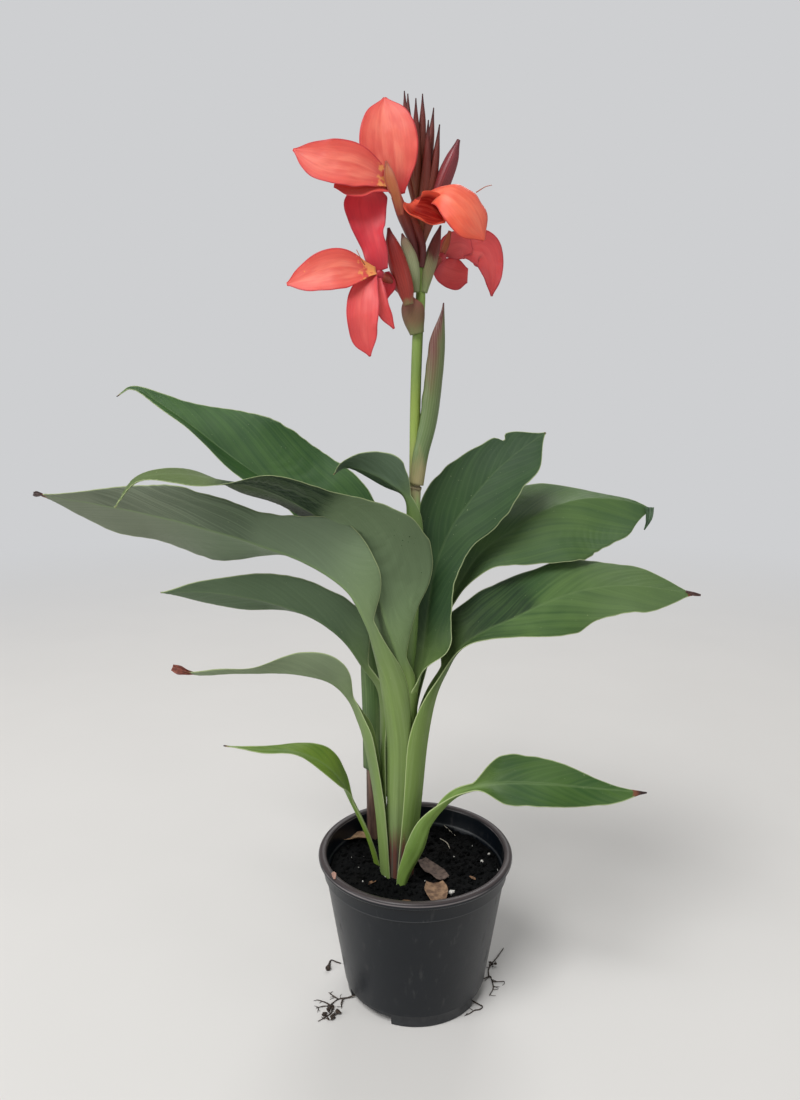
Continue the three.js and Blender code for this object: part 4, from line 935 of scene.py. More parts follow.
def soil_material():
    s = Shader("soil")
    crumbs, cloud = s.noise(2.4, 5), s.noise(20, 3)
    colour = s.mix(s.smooth(crumbs, 0.35, 0.75), rgb(3, 4, 5), rgb(13, 13, 13))
    colour = s.mix(s.smooth(cloud, 0.5, 0.75) * 0.4, colour, rgb(21, 19, 17))
    return s.done(colour, cloud * 0.2 + 0.7, crumbs, 1.2, Specular_IOR_Level=0.12)


def plain_grain_material(name, dark, light, size, roughness=0.85, depth=0.3):
    """Two colours clouded together, with a grain of a size in mm."""
    s = Shader(name)
    grain = s.noise(size, 5)
    return s.done(s.mix(s.smooth(grain, 0.3, 0.7), dark, light), roughness, grain, depth)


# ---------------------------------------------------------------- leaves
VEIN_SLOPE = 2.2  # how far a larger vein runs along the blade for each mm that it goes aside
VEIN_SWEEP = 0.9  # how much more it runs along near the margin
VEIN_STAGGER = 4.0  # how far along the right half's veins are set against the left half's
SHEATH_VEINS = 2.5  # how much closer together the veins lie on the sheath
GROOVE = 0.35  # depth of the groove above the midrib, as a share of the midrib's height
STEEP_VEINS = {
    "leaf_front_long": 5.0, "leaf_back_left": 3.6, "leaf_left_upper": 3.4, "leaf_right_upper": 3.0,
}
LEAF_SPAN = 14  # rows between two stations
LEAF_COLUMNS = 45
LOOKS = {
    "leaf_back_left": {
        "dark": rgb(42, 79, 38), "light": rgb(65, 102, 47), "stalk": rgb(80, 104, 58), "brown": 2,
    },
    "leaf_front_long": {
        "dark": rgb(50, 73, 42), "light": rgb(64, 86, 49), "under": rgb(112, 132, 98),
        "far": rgb(124, 141, 92), "base_shade": 0.0, "brown": 0, "shade": (1.0, 0.8, 0.41, 0.68), "gloss": 0.12,
    },
    "leaf_left_upper": {
        "dark": rgb(86, 101, 78), "light": rgb(106, 117, 92), "under": rgb(109, 128, 99),
        "far": rgb(128, 132, 114), "rib": 0.55, "base_shade": 0.0, "foot": 0.9, "brown": 9,
        "shade": (0.4, 0, 0.36, 0.8),
    },
    "leaf_left_middle": {
        "dark": rgb(59, 87, 53), "light": rgb(71, 97, 59), "under": rgb(89, 111, 80), "brown": 0,
    },
    "leaf_left_lower": {
        "dark": rgb(84, 108, 74), "light": rgb(114, 131, 98), "under": rgb(131, 147, 113), "brown": 16,
    },
    "leaf_left_small": {
        "dark": rgb(80, 112, 30), "light": rgb(104, 131, 38), "under": rgb(104, 138, 70),
        "stalk": rgb(126, 156, 60), "brown": 3,
    },
    # painted light: this leaf's stalk green is lighter than its own, to lift the shade among the sheaths
    "leaf_right_upright": {
        "dark": rgb(37, 66, 34), "light": rgb(51, 81, 41), "stalk": rgb(150, 176, 100), "rib": 0.12,
        "base_shade": 0.5, "brown": 0, "gloss": 0.3,
    },
    "leaf_right_upper": {
        "dark": rgb(60, 89, 50), "light": rgb(80, 108, 56), "rib": 0.15, "base_shade": 0.4, "brown": 1,
    },
    "leaf_right_middle": {
        "dark": rgb(50, 79, 40), "light": rgb(82, 110, 57), "far": rgb(96, 118, 75), "rib": 0.18,
        "base_shade": 0.8, "foot": 0.9, "brown": 7, "shade": (0.85, 0, -0.12, 0.38), "gloss": 0.15,
    },
    "leaf_right_low": {
        "dark": rgb(42, 78, 26), "light": rgb(66, 98, 36), "stalk": rgb(120, 150, 70), "brown": 12,
    },
    "leaf_top_small": {"dark": rgb(60, 98, 54), "light": rgb(77, 114, 62), "brown": 0},
}
RIPPLE = 0.2  # height of the ripples across the veins, in mm
RIPPLES = {
    "leaf_back_left": 0.35, "leaf_front_long": 0.9, "leaf_left_upper": 0.35, "leaf_left_middle": 0.25,
    "leaf_left_lower": 0.25, "leaf_left_small": 0.15, "leaf_right_upright": 0.15,
}
NICKS = {"leaf_right_upright": (0.872, 0.3, 0.011)}  # a torn notch: place along the blade, depth, length
RAGGED = {"share": 0.03, "size": 11}  # the margin's unevenness, as a share of the half width and in mm
UNEVEN = {"height": 1.2, "size": 34}  # dents in a blade, in mm
VEIN_BEND = {"height": 5, "size": 60}  # how far the veins wander, in mm


def leaf_section(leaf, widths, place, blade):
    """Half width, wrap and fold of one half of a leaf, row by row."""
    foot, top, wrap = leaf["sheath"]
    stalk_radius, stalk_wrap = leaf["stalk"]
    end, start = leaf["sheath_end"], leaf["blade_start"]
    sheath_width = mix(foot, top, np.clip(place / end, 0, 1)) * math.radians(wrap)
    stalk_width = stalk_radius * math.radians(stalk_wrap)
    t = ease((place - end) / (start - end))
    width = mix(sheath_width, stalk_width, t)
    width = np.where(place > start, smoothly([stalk_width, *widths, TIP], blade), width)
    opened = ease(blade * 5)
    curl = mix(mix(wrap, stalk_wrap, t), leaf["cup"], opened)
    return width, curl, smoothly(leaf["fold"], blade) * opened


def leaf_piece(name, leaf, seed):
    stations = np.array(leaf["stations"], float)
    count = (len(stations) - 1) * LEAF_SPAN
    frames = path_frames(stations[:, :3], stations[:, 3:], count)
    place = np.arange(count + 1) / LEAF_SPAN
    length = frames["length"]
    start = length[leaf["blade_start"] * LEAF_SPAN]
    blade = np.clip((length - start) / (length[-1] - start), 0, 1)
    left, curl, fold = leaf_section(leaf, leaf["left"], place, blade)
    right = leaf_section(leaf, leaf["right"], place, blade)[0]
    s = columns(LEAF_COLUMNS, 0.3)[None, :]
    t = blade[:, None]
    torn = np.array([noise.noise(Vector((x / RAGGED["size"], seed, 0))) for x in length])[:, None]
    torn = RAGGED["share"] * torn * ease(t * 6) * np.abs(s) ** 3
    width = np.where(s > 0, left[:, None], right[:, None]) * (1 + torn)
    if name in NICKS:
        at, depth, spread = NICKS[name]
        width = width * (1 - depth * np.exp(-(((t - at) / spread) ** 2)) * (s > 0))
    grid = strip_grid(frames, s, width, curl[:, None], fold[:, None], wave_height(leaf["wave"], t, s))

    aside, edge = np.abs(s) * width, (1 - np.abs(s)) * width
    opened = ease(t * 5)
    run = (length - start)[:, None]
    slope = STEEP_VEINS.get(name, VEIN_SLOPE)
    vein = run - slope * aside - VEIN_SWEEP * aside * s**2 + np.where(s > 0, 0, VEIN_STAGGER)
    vein = mix(aside * SHEATH_VEINS, vein, opened)
    vein = vein + wrinkle(grid, VEIN_BEND["size"], seed + 9) * VEIN_BEND["height"]
    ripple = np.sin(2 * np.pi * vein / VEIN_STEP) * RIPPLES.get(name, RIPPLE)
    ripple = ripple * opened * (1 - s**6) * np.abs(s) ** 0.5
    dents = wrinkle(grid, UNEVEN["size"], seed) * UNEVEN["height"] * opened * (1 - t**4)
    grid = grid + grid_normals(grid) * (ripple + dents)[..., None]

    thin = np.sqrt(np.clip(1 - np.abs(s) ** 10, 0.12, 1))
    half = mix(SHEATH, BLADE, ease(t * 4)) / 2 * thin
    rib = RIB * (1 - t) * np.exp(-((aside / RIB_WIDTH) ** 2))
    groove = GROOVE * rib * opened
    values = {
        "aside": aside, "edge": edge, "vein": vein, "grow": t, "totip": (length[-1] - length)[:, None],
        "rise": np.clip(place / leaf["blade_start"], 0, 1)[:, None], "side": np.where(s > 0, 1.0, 0.0),
    }
    skin = sheet(grid, half - groove, half + rib, values)
    return dressed(name.replace("leaf", "blade"), skin, leaf_material(name, **LOOKS[name]), "leaf", name)


# ---------------------------------------------------------------- petals, bracts and the rolled leaf
STRIP_COLUMNS = 31
STRIP_SPAN = 12
RUFFLES = (4.6, 2.7)  # lengths of a petal edge's two waves, over 2 pi, in mm
CRUMPLE = 9  # size of a petal's uneven places, in mm
PLEATS = 9  # lengthwise folds across a strip, times pi


def strip_parts(strip, thick=PETAL, ruffle=0.0, pleat=0.0, seed=0):
    """Points, faces and values of a thin strip with the half widths and curls given along it."""
    stations = np.array(strip["stations"], float)
    count = (len(stations) - 1) * STRIP_SPAN
    frames = path_frames(stations[:, :3], stations[:, 3:], count)
    length = frames["length"]
    t = (length / length[-1])[:, None]
    s = columns(STRIP_COLUMNS, 0)[None, :]
    width = np.maximum(smoothly(strip["half"], t.ravel()), 0.3)[:, None]
    wrap = smoothly(strip["wrap"], t.ravel())[:, None]
    grid = strip_grid(frames, s, width, wrap, 0 * wrap, wave_height(strip.get("wave", (0, 0, 0)), t, s))
    long, short = RUFFLES
    edge_wave = np.sin(length / long + seed)[:, None] + 0.6 * np.sin(length / short + 2 * seed)[:, None]
    lift = ruffle * edge_wave * np.abs(s) ** 4 * np.sin(np.pi * t)
    lift = lift + pleat * np.cos(PLEATS * s + seed) * (1 - s**4)
    lift = lift + wrinkle(grid, CRUMPLE, seed) * ruffle * 0.6 * np.sin(np.pi * t)
    grid = grid + grid_normals(grid) * lift[..., None]
    half = thick / 2 * np.sqrt(np.clip(1 - np.abs(s) ** 8, 0.2, 1)) * np.ones_like(t)
    values = {
        "aside": np.abs(s) * width, "edge": (1 - np.abs(s)) * width, "grow": t,
        "totip": (length[-1] - length)[:, None], "around": (s + 1) / 2,
    }
    return sheet(grid, half, half, values)


def strip_piece(name, strip, material, slot):
    """A spathe or an open bract, thicker than a petal and less ruffled."""
    return dressed(f"{name}_skin", strip_parts(strip, thick=1.2, ruffle=0.3), material, slot, name)


PETAL_TONES = {
    "coral": petal_material("petal_coral", CORAL, CORAL_PALE, CORAL_EDGE),
    "lip": petal_material("petal_lip", rgb(206, 64, 52), rgb(222, 84, 66), CRIMSON, throat=0.3),
    "throated": petal_material("petal_throated", CORAL, CORAL_PALE, CORAL_EDGE, throat=0.34),
    "crimson": petal_material("petal_crimson", CRIMSON, rgb(212, 58, 66), rgb(160, 34, 50), back=CRIMSON),
    "hanging": petal_material("petal_hanging", rgb(220, 78, 78), rgb(230, 98, 92), rgb(190, 50, 60)),
    "orange": petal_material("petal_orange", ORANGE_RED, rgb(244, 122, 92), rgb(196, 48, 52)),
    # painted shade: the cup's inside is dark red for the shade in its curl; its rim and back keep coral
    # and orange
    "cup": petal_material(
        "petal_cup_painted_shade", rgb(124, 14, 10), rgb(136, 20, 12), rgb(232, 98, 74),
        back=ORANGE_RED, rim=6.5, gloss=0.05,
    ),
    "rose": petal_material("petal_rose", rgb(204, 74, 75), rgb(215, 90, 87), rgb(168, 47, 59)),
    "stamen": petal_material(
        "petal_stamen", STAMEN_BROWN, rgb(190, 118, 72), rgb(150, 66, 50), back=STAMEN_BROWN,
    ),
}
FLOWER_TONES = {
    "top_left": ("coral", "throated", "lip"),
    "lower_left": ("crimson", "throated", "hanging", "hanging"),
    "upper_right": ("orange", "cup"),
    "right_behind": ("rose", "rose", "rose", "stamen"),
}
SMALL_PETALS = {  # narrow petals inside the flowers, with their tones
    "top_left": [({
        "stations": [
            (-15, -28, 766, 0, -1, 0.1), (-19, -32, 780, 0, -1, 0.1), (-24, -33, 794, 0, -1, 0.1),
            (-28, -30, 810, 0, -1, 0.1),
        ],
        "half": (3, 4.5, 5, 4.5, 1), "wrap": (50, 30, 20),
    }, "stamen")],
    "lower_left": [({
        "stations": [(-28, -28, 719, 0, -1, 0), (-26, -25, 710, 0, -1, 0), (-28, -24, 696, 0, -1, 0)],
        "half": (3, 7, 1), "wrap": (30, 20),
    }, "crimson")],
}
THROAT_RADIUS = 4.6
FILAMENTS = {  # thin stalks that stand out of the flowers
    "upper_right": [(50, -32, 784), (58, -30, 789), (64, -28, 791)],
    "lower_left": [(-46, -44, 722), (-50, -47, 728), (-53, -47, 734)],
}
FILAMENT_RADII = (0.5, 0.35, 0.3)


def toned_piece(name, parts, materials, tones, slot, *nodes):
    """One piece from several parts, where tones tells which of the materials each part has."""
    piece = dressed(name, merged(parts), materials[0], slot, *nodes)
    for material in materials[1:]:
        piece.data.materials.append(material)
    face_tones = [tone for (_, faces, _), tone in zip(parts, tones) for _ in faces]
    piece.data.polygons.foreach_set("material_index", face_tones)
    return piece


def throat_ball(middle):
    """A round knot of petal at the end of a flower's tube."""
    heights = np.array([-1, -0.5, 0.5, 1]) * THROAT_RADIUS
    path = [(middle[0], middle[1], middle[2] + height) for height in heights]
    radii = np.array([0.3, 0.87, 0.87, 0.3]) * THROAT_RADIUS
    points, faces, _ = tube(path, radii, count=14, sides=16)
    return points, faces, {"edge": np.full(len(points), 3.0), "upper": np.ones(len(points))}


def flower_pieces(name, flower, seed):
    """One piece for the petals, with a material for each tone, and one for the tube that carries them."""
    blades = list(zip(flower["petals"], FLOWER_TONES[name])) + SMALL_PETALS.get(name, [])
    parts = [
        strip_parts(petal, ruffle=0.55, pleat=0.06, seed=seed + k) for k, (petal, _) in enumerate(blades)
    ]
    parts.append(throat_ball(flower["tube"][-1]))
    materials = [PETAL_TONES[tone] for _, tone in blades]
    tones = [*range(len(blades)), 0]
    if name in FILAMENTS:
        parts.append(tube(FILAMENTS[name], FILAMENT_RADII, count=12, sides=8))
        materials.append(PETAL_TONES["stamen"])
        tones.append(len(blades))
    toned_piece(f"petals_{name}", parts, materials, tones, "petal", f"flower_{name}")

    neck = tapered(flower["tube"], ridge=three_lobed)
    dressed(f"throat_{name}", neck, TUBE_LOOK, "flower_tube", f"tube_{name}")


def three_lobed(angle, t):
    return 1 + 0.06 * np.cos(3 * angle + 2 * t)


TUBE_LOOK = streaked_material("flower_tube", 4, {
    0.0: rgb(96, 40, 40), 0.35: rgb(110, 42, 40), 0.75: rgb(150, 62, 46), 1.0: rgb(196, 80, 56),
})
BRACT_LOOKS = {
    "bract_left": streaked_material("bract_maroon", 6, {
        0.0: rgb(140, 122, 82), 0.15: rgb(164, 55, 43), 0.8: rgb(150, 37, 31), 1.0: rgb(112, 30, 32),
    }),
    "bract_middle": streaked_material("bract_pale", 6, {
        0.0: rgb(132, 142, 96), 0.4: rgb(156, 164, 122), 0.8: rgb(146, 130, 104), 1.0: rgb(120, 66, 60),
    }),
    "bract_right": streaked_material("bract_mixed", 6, {
        0.0: rgb(134, 148, 96), 0.4: rgb(142, 136, 96), 0.6: rgb(120, 62, 54), 1.0: rgb(112, 50, 52),
    }),
}
LOW_BRACT_LOOK = streaked_material("low_bract", 6, {
    0.0: rgb(122, 128, 80), 0.4: rgb(128, 98, 68), 1.0: rgb(150, 84, 74),
})
BUD_LOOK = streaked_material("bud", 5, {
    0.0: rgb(142, 92, 50), 0.3: rgb(134, 66, 46), 0.75: rgb(120, 46, 38), 1.0: rgb(82, 28, 30),
})
FAT_BUD_LOOK = streaked_material("fat_bud", 5, {
    0.0: rgb(134, 84, 56), 0.3: rgb(146, 57, 58), 0.8: rgb(140, 54, 62), 1.0: rgb(104, 40, 46),
})


def spathe_material():
    """Beige at the foot, green where it is rolled round, and maroon on its open front near the top."""
    s = Shader("spathe")
    streaks = s.noise(7, 4, stretch=(1, 1, 0.2))
    place = (streaks - 0.5) * 0.3 + s.value("grow")
    colour = s.mix(s.smooth(place, 0.04, 0.2), rgb(158, 148, 104), rgb(102, 125, 76))
    colour = s.mix(s.smooth(place, 0.3, 0.6), colour, rgb(98, 112, 66))
    front = s.smooth(streaks * 0.2 + s.value("around"), 0.44, 0.28)
    colour = s.mix(front * s.smooth(place, 0.45, 0.8), colour, rgb(108, 66, 60))
    colour = s.mix(s.smooth(place, 0.86, 1.0), colour, rgb(84, 42, 46))
    lines = s.stripes(s.value("aside"), 2.2, 2)
    colour = s.mix(lines * 0.14, colour, rgb(176, 172, 138))
    return s.done(colour, 0.45, lines + streaks, 0.1, Specular_IOR_Level=0.45)


TIP_CURLS = {  # curled or dry ends of leaves: x, y, z of their middles, half widths, dark and light colour
    "curl_left_lower": (
        [(-211, -38, 352.5), (-217, -39.5, 354), (-224, -40.5, 356.5), (-231, -40, 359)],
        (1.2, 3.4, 4.8, 3.2), rgb(92, 40, 30), rgb(136, 72, 54),
    ),
    "curl_left_upper": (
        [(-361, 4, 518.5), (-365, 4, 518.6), (-370, 5, 519)],
        (1.2, 3.4, 2), rgb(44, 34, 34), rgb(80, 60, 56),
    ),
    "curl_right_middle": (
        [(263, -4, 424.5), (269, -6, 422.5), (277, -6, 421)],
        (1, 2.2, 1), rgb(52, 34, 32), rgb(90, 60, 52),
    ),
    "curl_right_upper": (
        [(238, 45, 501), (237, 40, 494), (235, 38, 486), (232, 37, 479)],
        (5, 4, 2.6, 0.5), rgb(44, 66, 42), rgb(64, 90, 58),
    ),
}


def tip_curls():
    for seed, (name, (points, half, dark, light)) in enumerate(TIP_CURLS.items()):
        stations = [(*point, 0, -1, 0.3) for point in points]
        strip = {"stations": stations, "half": half, "wrap": (30, 60, 40)}
        curl = strip_parts(strip, thick=0.6, ruffle=0.6, pleat=0.2, seed=seed)
        dressed(name, curl, plain_grain_material(name, dark, light, 4, roughness=0.6), "leaf")


# ---------------------------------------------------------------- stems and buds
def ribbed(angle, t):
    """A stem's section: many low ribs that turn slowly with its height."""
    return 1 + 0.015 * np.cos(14 * angle + 3 * t)


def stem_piece(name, points, material, slot, flatten=1):
    skin = tapered(points, count=160, sides=40, flatten=flatten, ridge=ribbed)
    return dressed(f"{name}_skin", skin, material, slot, name)


RING = 526  # height of the ringed node on the flower stalk


def shoot_material():
    """Yellow-green flower stalk, duller and pinkish just above the ringed node."""
    s = Shader("shoot")
    streaks = s.noise(5, 4, stretch=(1, 1, 0.06))
    z = (streaks - 0.5) * 30 + s.height()
    colour = s.mix(s.smooth(z, 380, 500), rgb(120, 150, 84), rgb(134, 164, 96))
    colour = s.mix(s.smooth(z, RING - 21, RING - 2), colour, rgb(150, 142, 102))
    colour = s.mix(s.smooth(z, RING, RING + 54), colour, rgb(146, 168, 74))
    colour = s.mix(s.smooth(z, 600, 640), colour, rgb(124, 150, 70))
    colour = s.mix(s.level(RING, 4, 1) * 0.6, colour, rgb(116, 90, 78))
    lines = s.stripes(s.value("around"), 1 / 26, 2)
    colour = s.mix(lines * 0.2, colour, rgb(170, 196, 116))
    return s.done(colour, 0.42, lines + streaks, 0.12, Specular_IOR_Level=0.45)


def old_shoot_material():
    s = Shader("old_shoot")
    streaks = s.noise(6, 5, stretch=(1, 1, 0.1))
    colour = s.mix(s.smooth(streaks, 0.35, 0.65), rgb(72, 52, 46), rgb(120, 92, 78))
    colour = s.mix(s.smooth(s.height(), 190, 300), colour, rgb(92, 104, 66))
    return s.done(colour, 0.6, streaks, 0.3)


BUDS = {"lowest": 746, "rise": 6.5, "fat": 4.6, "thin": 3.8, "bow": 1.5}
BUD_SHAPE = ((0, 0, 0.5), (0.35, 1, 1), (0.7, 1, 0.75), (1, 0, 0.12))  # place along it, bow and thickness


def pointed(angle, t):
    """A bud's section: three flat sides with fine ribs."""
    return 1 + 0.1 * np.cos(3 * angle + 1.5 * t) + 0.03 * np.cos(9 * angle)


def bud_spike():
    core = np.array(SPIKE_CORE, float)
    height = core[-1, 2] - core[0, 2]
    parts = [tapered(SPIKE_CORE), tapered(FAT_BUD, ridge=pointed)]
    for k, tip in enumerate(np.array(BUD_TIPS, float)):
        foot = spline(core[:, :3], [(BUDS["lowest"] + k * BUDS["rise"] - core[0, 2]) / height])[0]
        bow = unit((tip - foot) * (1, 1, 0)) * BUDS["bow"]
        radius = mix(BUDS["fat"], BUDS["thin"], k / (len(BUD_TIPS) - 1))
        points = [mix(foot, tip, share) + bow * bowed for share, bowed, _ in BUD_SHAPE]
        radii = [radius * thickness for _, _, thickness in BUD_SHAPE]
        parts.append(tube(points, radii, count=36, sides=18, ridge=pointed))
    tones = [0, 1] + [0] * len(BUD_TIPS)
    return toned_piece("buds", parts, [BUD_LOOK, FAT_BUD_LOOK], tones, "bud", "bud_spike")


def boat(angle, t):
    """A bract's section: a keel and two folded edges, which open towards the tip."""
    return 1 + 0.08 * np.cos(2 * angle) * t + 0.05 * np.cos(5 * angle + 2 * t)


def bract_pieces():
    strip_piece("low_bract", LOW_BRACT, LOW_BRACT_LOOK, "bract")
    for name, points in BRACTS.items():
        skin = tapered(points, count=40, sides=28, flatten=0.7, ridge=boat)
        dressed(f"{name}_skin", skin, BRACT_LOOKS[name], "bract", name)


# ---------------------------------------------------------------- pot
def pot_profile():
    """Radius and height round the wall's section, from the middle of the underside back to the axis."""
    top, collar, rim, wall = POT["height"], POT["collar"], POT["rim"], POT["wall"]
    lip_foot, inner = top - POT["lip_height"], rim - POT["lip_width"]
    step, foot_edge, under_rim = WALL_TOP + POT["step_depth"], POT["foot_height"], collar - wall
    lip = [
        (collar, lip_foot), (rim - 1.6, lip_foot + 0.1), (rim - 0.2, lip_foot + 1.6), (rim - 0.1, top - 3),
        (rim - 1.4, top - 0.8), (rim - 3.4, top), (inner + 2.6, top - 0.1), (inner + 0.6, top - 1.1),
        (inner - 0.2, top - 3),
    ]
    outside = [
        (0, 0), (POT["foot"] - 1, 0), (POT["foot"], 0.7), (FOOT_TOP, foot_edge - 0.6),
        (FOOT_TOP + 0.4, foot_edge), (FOOT_TOP + POT["foot_inset"], foot_edge + 0.8),
        (WALL_TOP, POT_STEP - 1.4), (WALL_TOP + 0.7, POT_STEP - 0.7), (step, POT_STEP),
        (collar - 0.2, lip_foot - 0.8),
    ]
    inside = [
        (under_rim - 2.2, lip_foot + 0.4), (under_rim - 2.6, lip_foot - 1),
        (step - wall - 0.6, POT_STEP + 1.4), (step - wall - 1.2, POT_STEP + 0.4),
        (WALL_TOP - wall, POT_STEP - 1), (FOOT_TOP + POT["foot_inset"] - wall, foot_edge),
        (POT["foot"] - wall - 1, POT["floor"]), (0, POT["floor"]),
    ]
    return outside + spline(lip, np.linspace(0, 1, 33)).tolist() + inside


def turned(profile, sides):
    """Points and faces of a closed body: (radius, height) pairs from axis to axis, turned about Z."""
    ring = np.linspace(0, 2 * np.pi, sides, endpoint=False)
    middle = np.array(profile[1:-1])
    x, y = middle[:, :1] * np.cos(ring), middle[:, :1] * np.sin(ring)
    rings = np.stack([x, y, np.broadcast_to(middle[:, 1:], x.shape)], axis=-1)
    points, faces = closed_rings(rings, [[0, 0, profile[0][1]], [0, 0, profile[-1][1]]])
    return points, [face[::-1] for face in faces]


def block(corners, low, high):
    """A closed prism over a ring of (x, y) corners."""
    count = len(corners)
    points = [(x, y, low) for x, y in corners] + [(x, y, high) for x, y in corners]
    faces = [list(range(count))[::-1], list(range(count, 2 * count))]
    faces += [[j, (j + 1) % count, count + (j + 1) % count, count + j] for j in range(count)]
    return points, faces


def cut(piece, cutters):
    """Cuts the cutters out of a piece and removes them."""
    for cutter in cutters:
        modifier = piece.modifiers.new("cut", "BOOLEAN")
        modifier.operation = "DIFFERENCE"
        modifier.solver = "MANIFOLD"
        modifier.object = cutter
    result = bpy.data.meshes.new_from_object(piece.evaluated_get(bpy.context.evaluated_depsgraph_get()))
    piece.modifiers.clear()
    piece.data = result
    for cutter in cutters:
        bpy.data.objects.remove(cutter)


def arc(radius, start, end, steps):
    return [(radius * math.cos(a), radius * math.sin(a)) for a in np.linspace(start, end, steps)]


def pot_piece():
    pot = new_piece("pot_shell", *turned(pot_profile(), POT["sides"]))
    cutters = []
    half = math.radians(NOTCH["width"] / 2)
    for k in range(NOTCH["count"]):
        middle = math.radians(-90 + NOTCH["first"] + k * 360 / NOTCH["count"])
        outer = arc(POT["foot"] + 10, middle - half, middle + half, 16)
        inner = arc(NOTCH["inner"], middle + half, middle - half, 16)
        cutters.append(new_piece("notch", *block(outer + inner, -1, NOTCH["height"])))
    for k in range(DRAIN_HOLES["count"]):
        angle = 2 * math.pi * k / DRAIN_HOLES["count"]
        x, y = DRAIN_HOLES["ring"] * math.cos(angle), DRAIN_HOLES["ring"] * math.sin(angle)
        hole = [(x + dx, y + dy) for dx, dy in arc(DRAIN_HOLES["radius"], 0, 2 * math.pi, 25)[:-1]]
        cutters.append(new_piece("hole", *block(hole, -1, 2 * POT["floor"])))
    cut(pot, cutters)
    pot.data.shade_smooth()
    pot.data.set_sharp_from_angle(angle=math.radians(35))
    return dress(pot, pot_material(), "pot_plastic", "pot")


# ---------------------------------------------------------------- soil, scraps and roots
def soil_height(x, y):
    """Height of the lumpy surface, before its crumbs."""
    middle = 1 - np.hypot(x, y) / POT["rim"]
    coarse = np.sin(x / 9 + 1.3) * np.cos(y / 8 - 0.4)
    fine = np.sin((x + y) / 4.3) * np.sin((x - 1.7 * y) / 5.1 + 2)
    return SOIL["top"] + SOIL["crown"] * (middle - 0.5) + SOIL["lump"] * (coarse + 0.6 * fine)


SOIL_GRID = {"rings": 70, "sides": 220}
SOIL_ROUGH = ((7, 2.2, 0), (2.6, 1.6, 9))  # clods and crumbs: size, height and place in the noise


def soil_piece():
    rings = SOIL_GRID["rings"]
    low = POT["floor"] + 0.3
    edge = WALL_TOP - POT["wall"] - SOIL["edge_gap"]
    profile = [
        (0, low), (NOTCH["inner"] - 3, low),
        (FOOT_TOP - POT["wall"] - SOIL["edge_gap"], NOTCH["height"] + 3), (edge - 0.8, POT_STEP - 5),
    ]
    profile += [(edge * (1 - ring / rings), SOIL["top"]) for ring in range(rings)] + [(0, SOIL["top"])]
    points, faces = turned(profile, SOIL_GRID["sides"])
    top = points[:, 2] > SOIL["top"] - 0.5
    x, y = points[top, 0], points[top, 1]
    rough = [
        sum(height * noise.noise(Vector((a / size, b / size, part))) for size, height, part in SOIL_ROUGH)
        for a, b in zip(x, y)
    ]
    points[top, 2] = soil_height(x, y) + rough
    return dressed("soil_plug", (points, faces), SOIL_LOOK, "soil", "soil")


SOIL_LOOK = soil_material()
PERLITE_LOOK = plain_grain_material(
    "perlite", rgb(196, 192, 184), rgb(232, 230, 224), 1.6, roughness=0.9, depth=0.4,
)
THREAD_LOOK = plain_grain_material("pale_root", rgb(182, 172, 152), rgb(212, 204, 188), 3)
ROOT_LOOK = plain_grain_material("root", rgb(34, 28, 24), rgb(74, 60, 50), 2.5)
CRUMBS = 1300
CRUMB_SIZES = (0.8, 1, 1.2, 1.5, 2.2, 3)
SOIL_REACH = 86  # how far from the pot's axis loose grains lie
PERLITE = [(70.9, 10.4, 2), (34.7, -44.8, 2.3), (79.8, 23.9, 1.4), (-31.1, -22.5, 1.7), (37, -43, 1.4)]
MORE_PERLITE = 18
THREADS = [((35, 80), (41, 73), (46, 62)), ((29, 56), (36, 47), (38, 31))]
THREAD_RADII = (0.35, 0.45, 0.3)
SCRAPS = {  # x, y, length, turn, half widths along it, and colours
    "dry_leaf_front": (17, -12, 40, -58, (6, 9, 10, 8), rgb(66, 52, 46), rgb(108, 90, 80)),
    "dry_leaf_edge": (20, -48, 30, 95, (8, 11, 11.5, 9), rgb(92, 68, 50), rgb(146, 116, 88)),
    "dry_leaf_left": (-66, 56, 27, -12, (9, 11, 10, 6), rgb(132, 100, 76), rgb(178, 146, 112)),
}
SCRAP_LIFT = 3.2
SMALL_SCRAPS = [  # x, y, length, turn, half widths
    (-44, -30, 9, 30, (1, 2.6, 2, 1)), (-30, 40, 8, 80, (1, 2, 2, 1)),
    (58, -20, 8, 130, (1, 2, 1.6, 1)), (-10, -62, 10, 20, (1, 2.2, 2, 1)),
]
SMALL_SCRAP_LIFT = 2.4
RIM_SCRAP = {
    "stations": [(-81, -48, 152.8, 0, 0, 1), (-80, -54, 153.2, 0, 0, 1), (-79, -60, 152.8, 0, 0, 1)],
    "half": (1, 2.4, 1.8, 1), "wrap": (20, 30),
}


LUMP_KNOBS, LUMP_SQUASH = (0.75, 1.25), (0.6, 1.2)  # ranges for its corners and for its three sizes


def lump(middle, size, chance, detail=1):
    """A small knobbly lump, as points, faces and values."""
    ball = bmesh.new()
    bmesh.ops.create_icosphere(ball, subdivisions=detail, radius=1)
    corners = np.array([corner.co[:] for corner in ball.verts])
    faces = [[corner.index for corner in face.verts] for face in ball.faces]
    ball.free()
    corners = corners * np.array([chance.uniform(*LUMP_KNOBS) for _ in corners])[:, None]
    turn = Euler([chance.uniform(0, 6.3) for _ in range(3)]).to_matrix()
    squash = np.array([chance.uniform(*LUMP_SQUASH) for _ in range(3)])
    return (corners * squash * size) @ np.array(turn).T + middle, faces, {}


def on_soil(chance):
    radius, angle = SOIL_REACH * math.sqrt(chance.random()), chance.uniform(0, 2 * math.pi)
    return radius * math.cos(angle), radius * math.sin(angle)


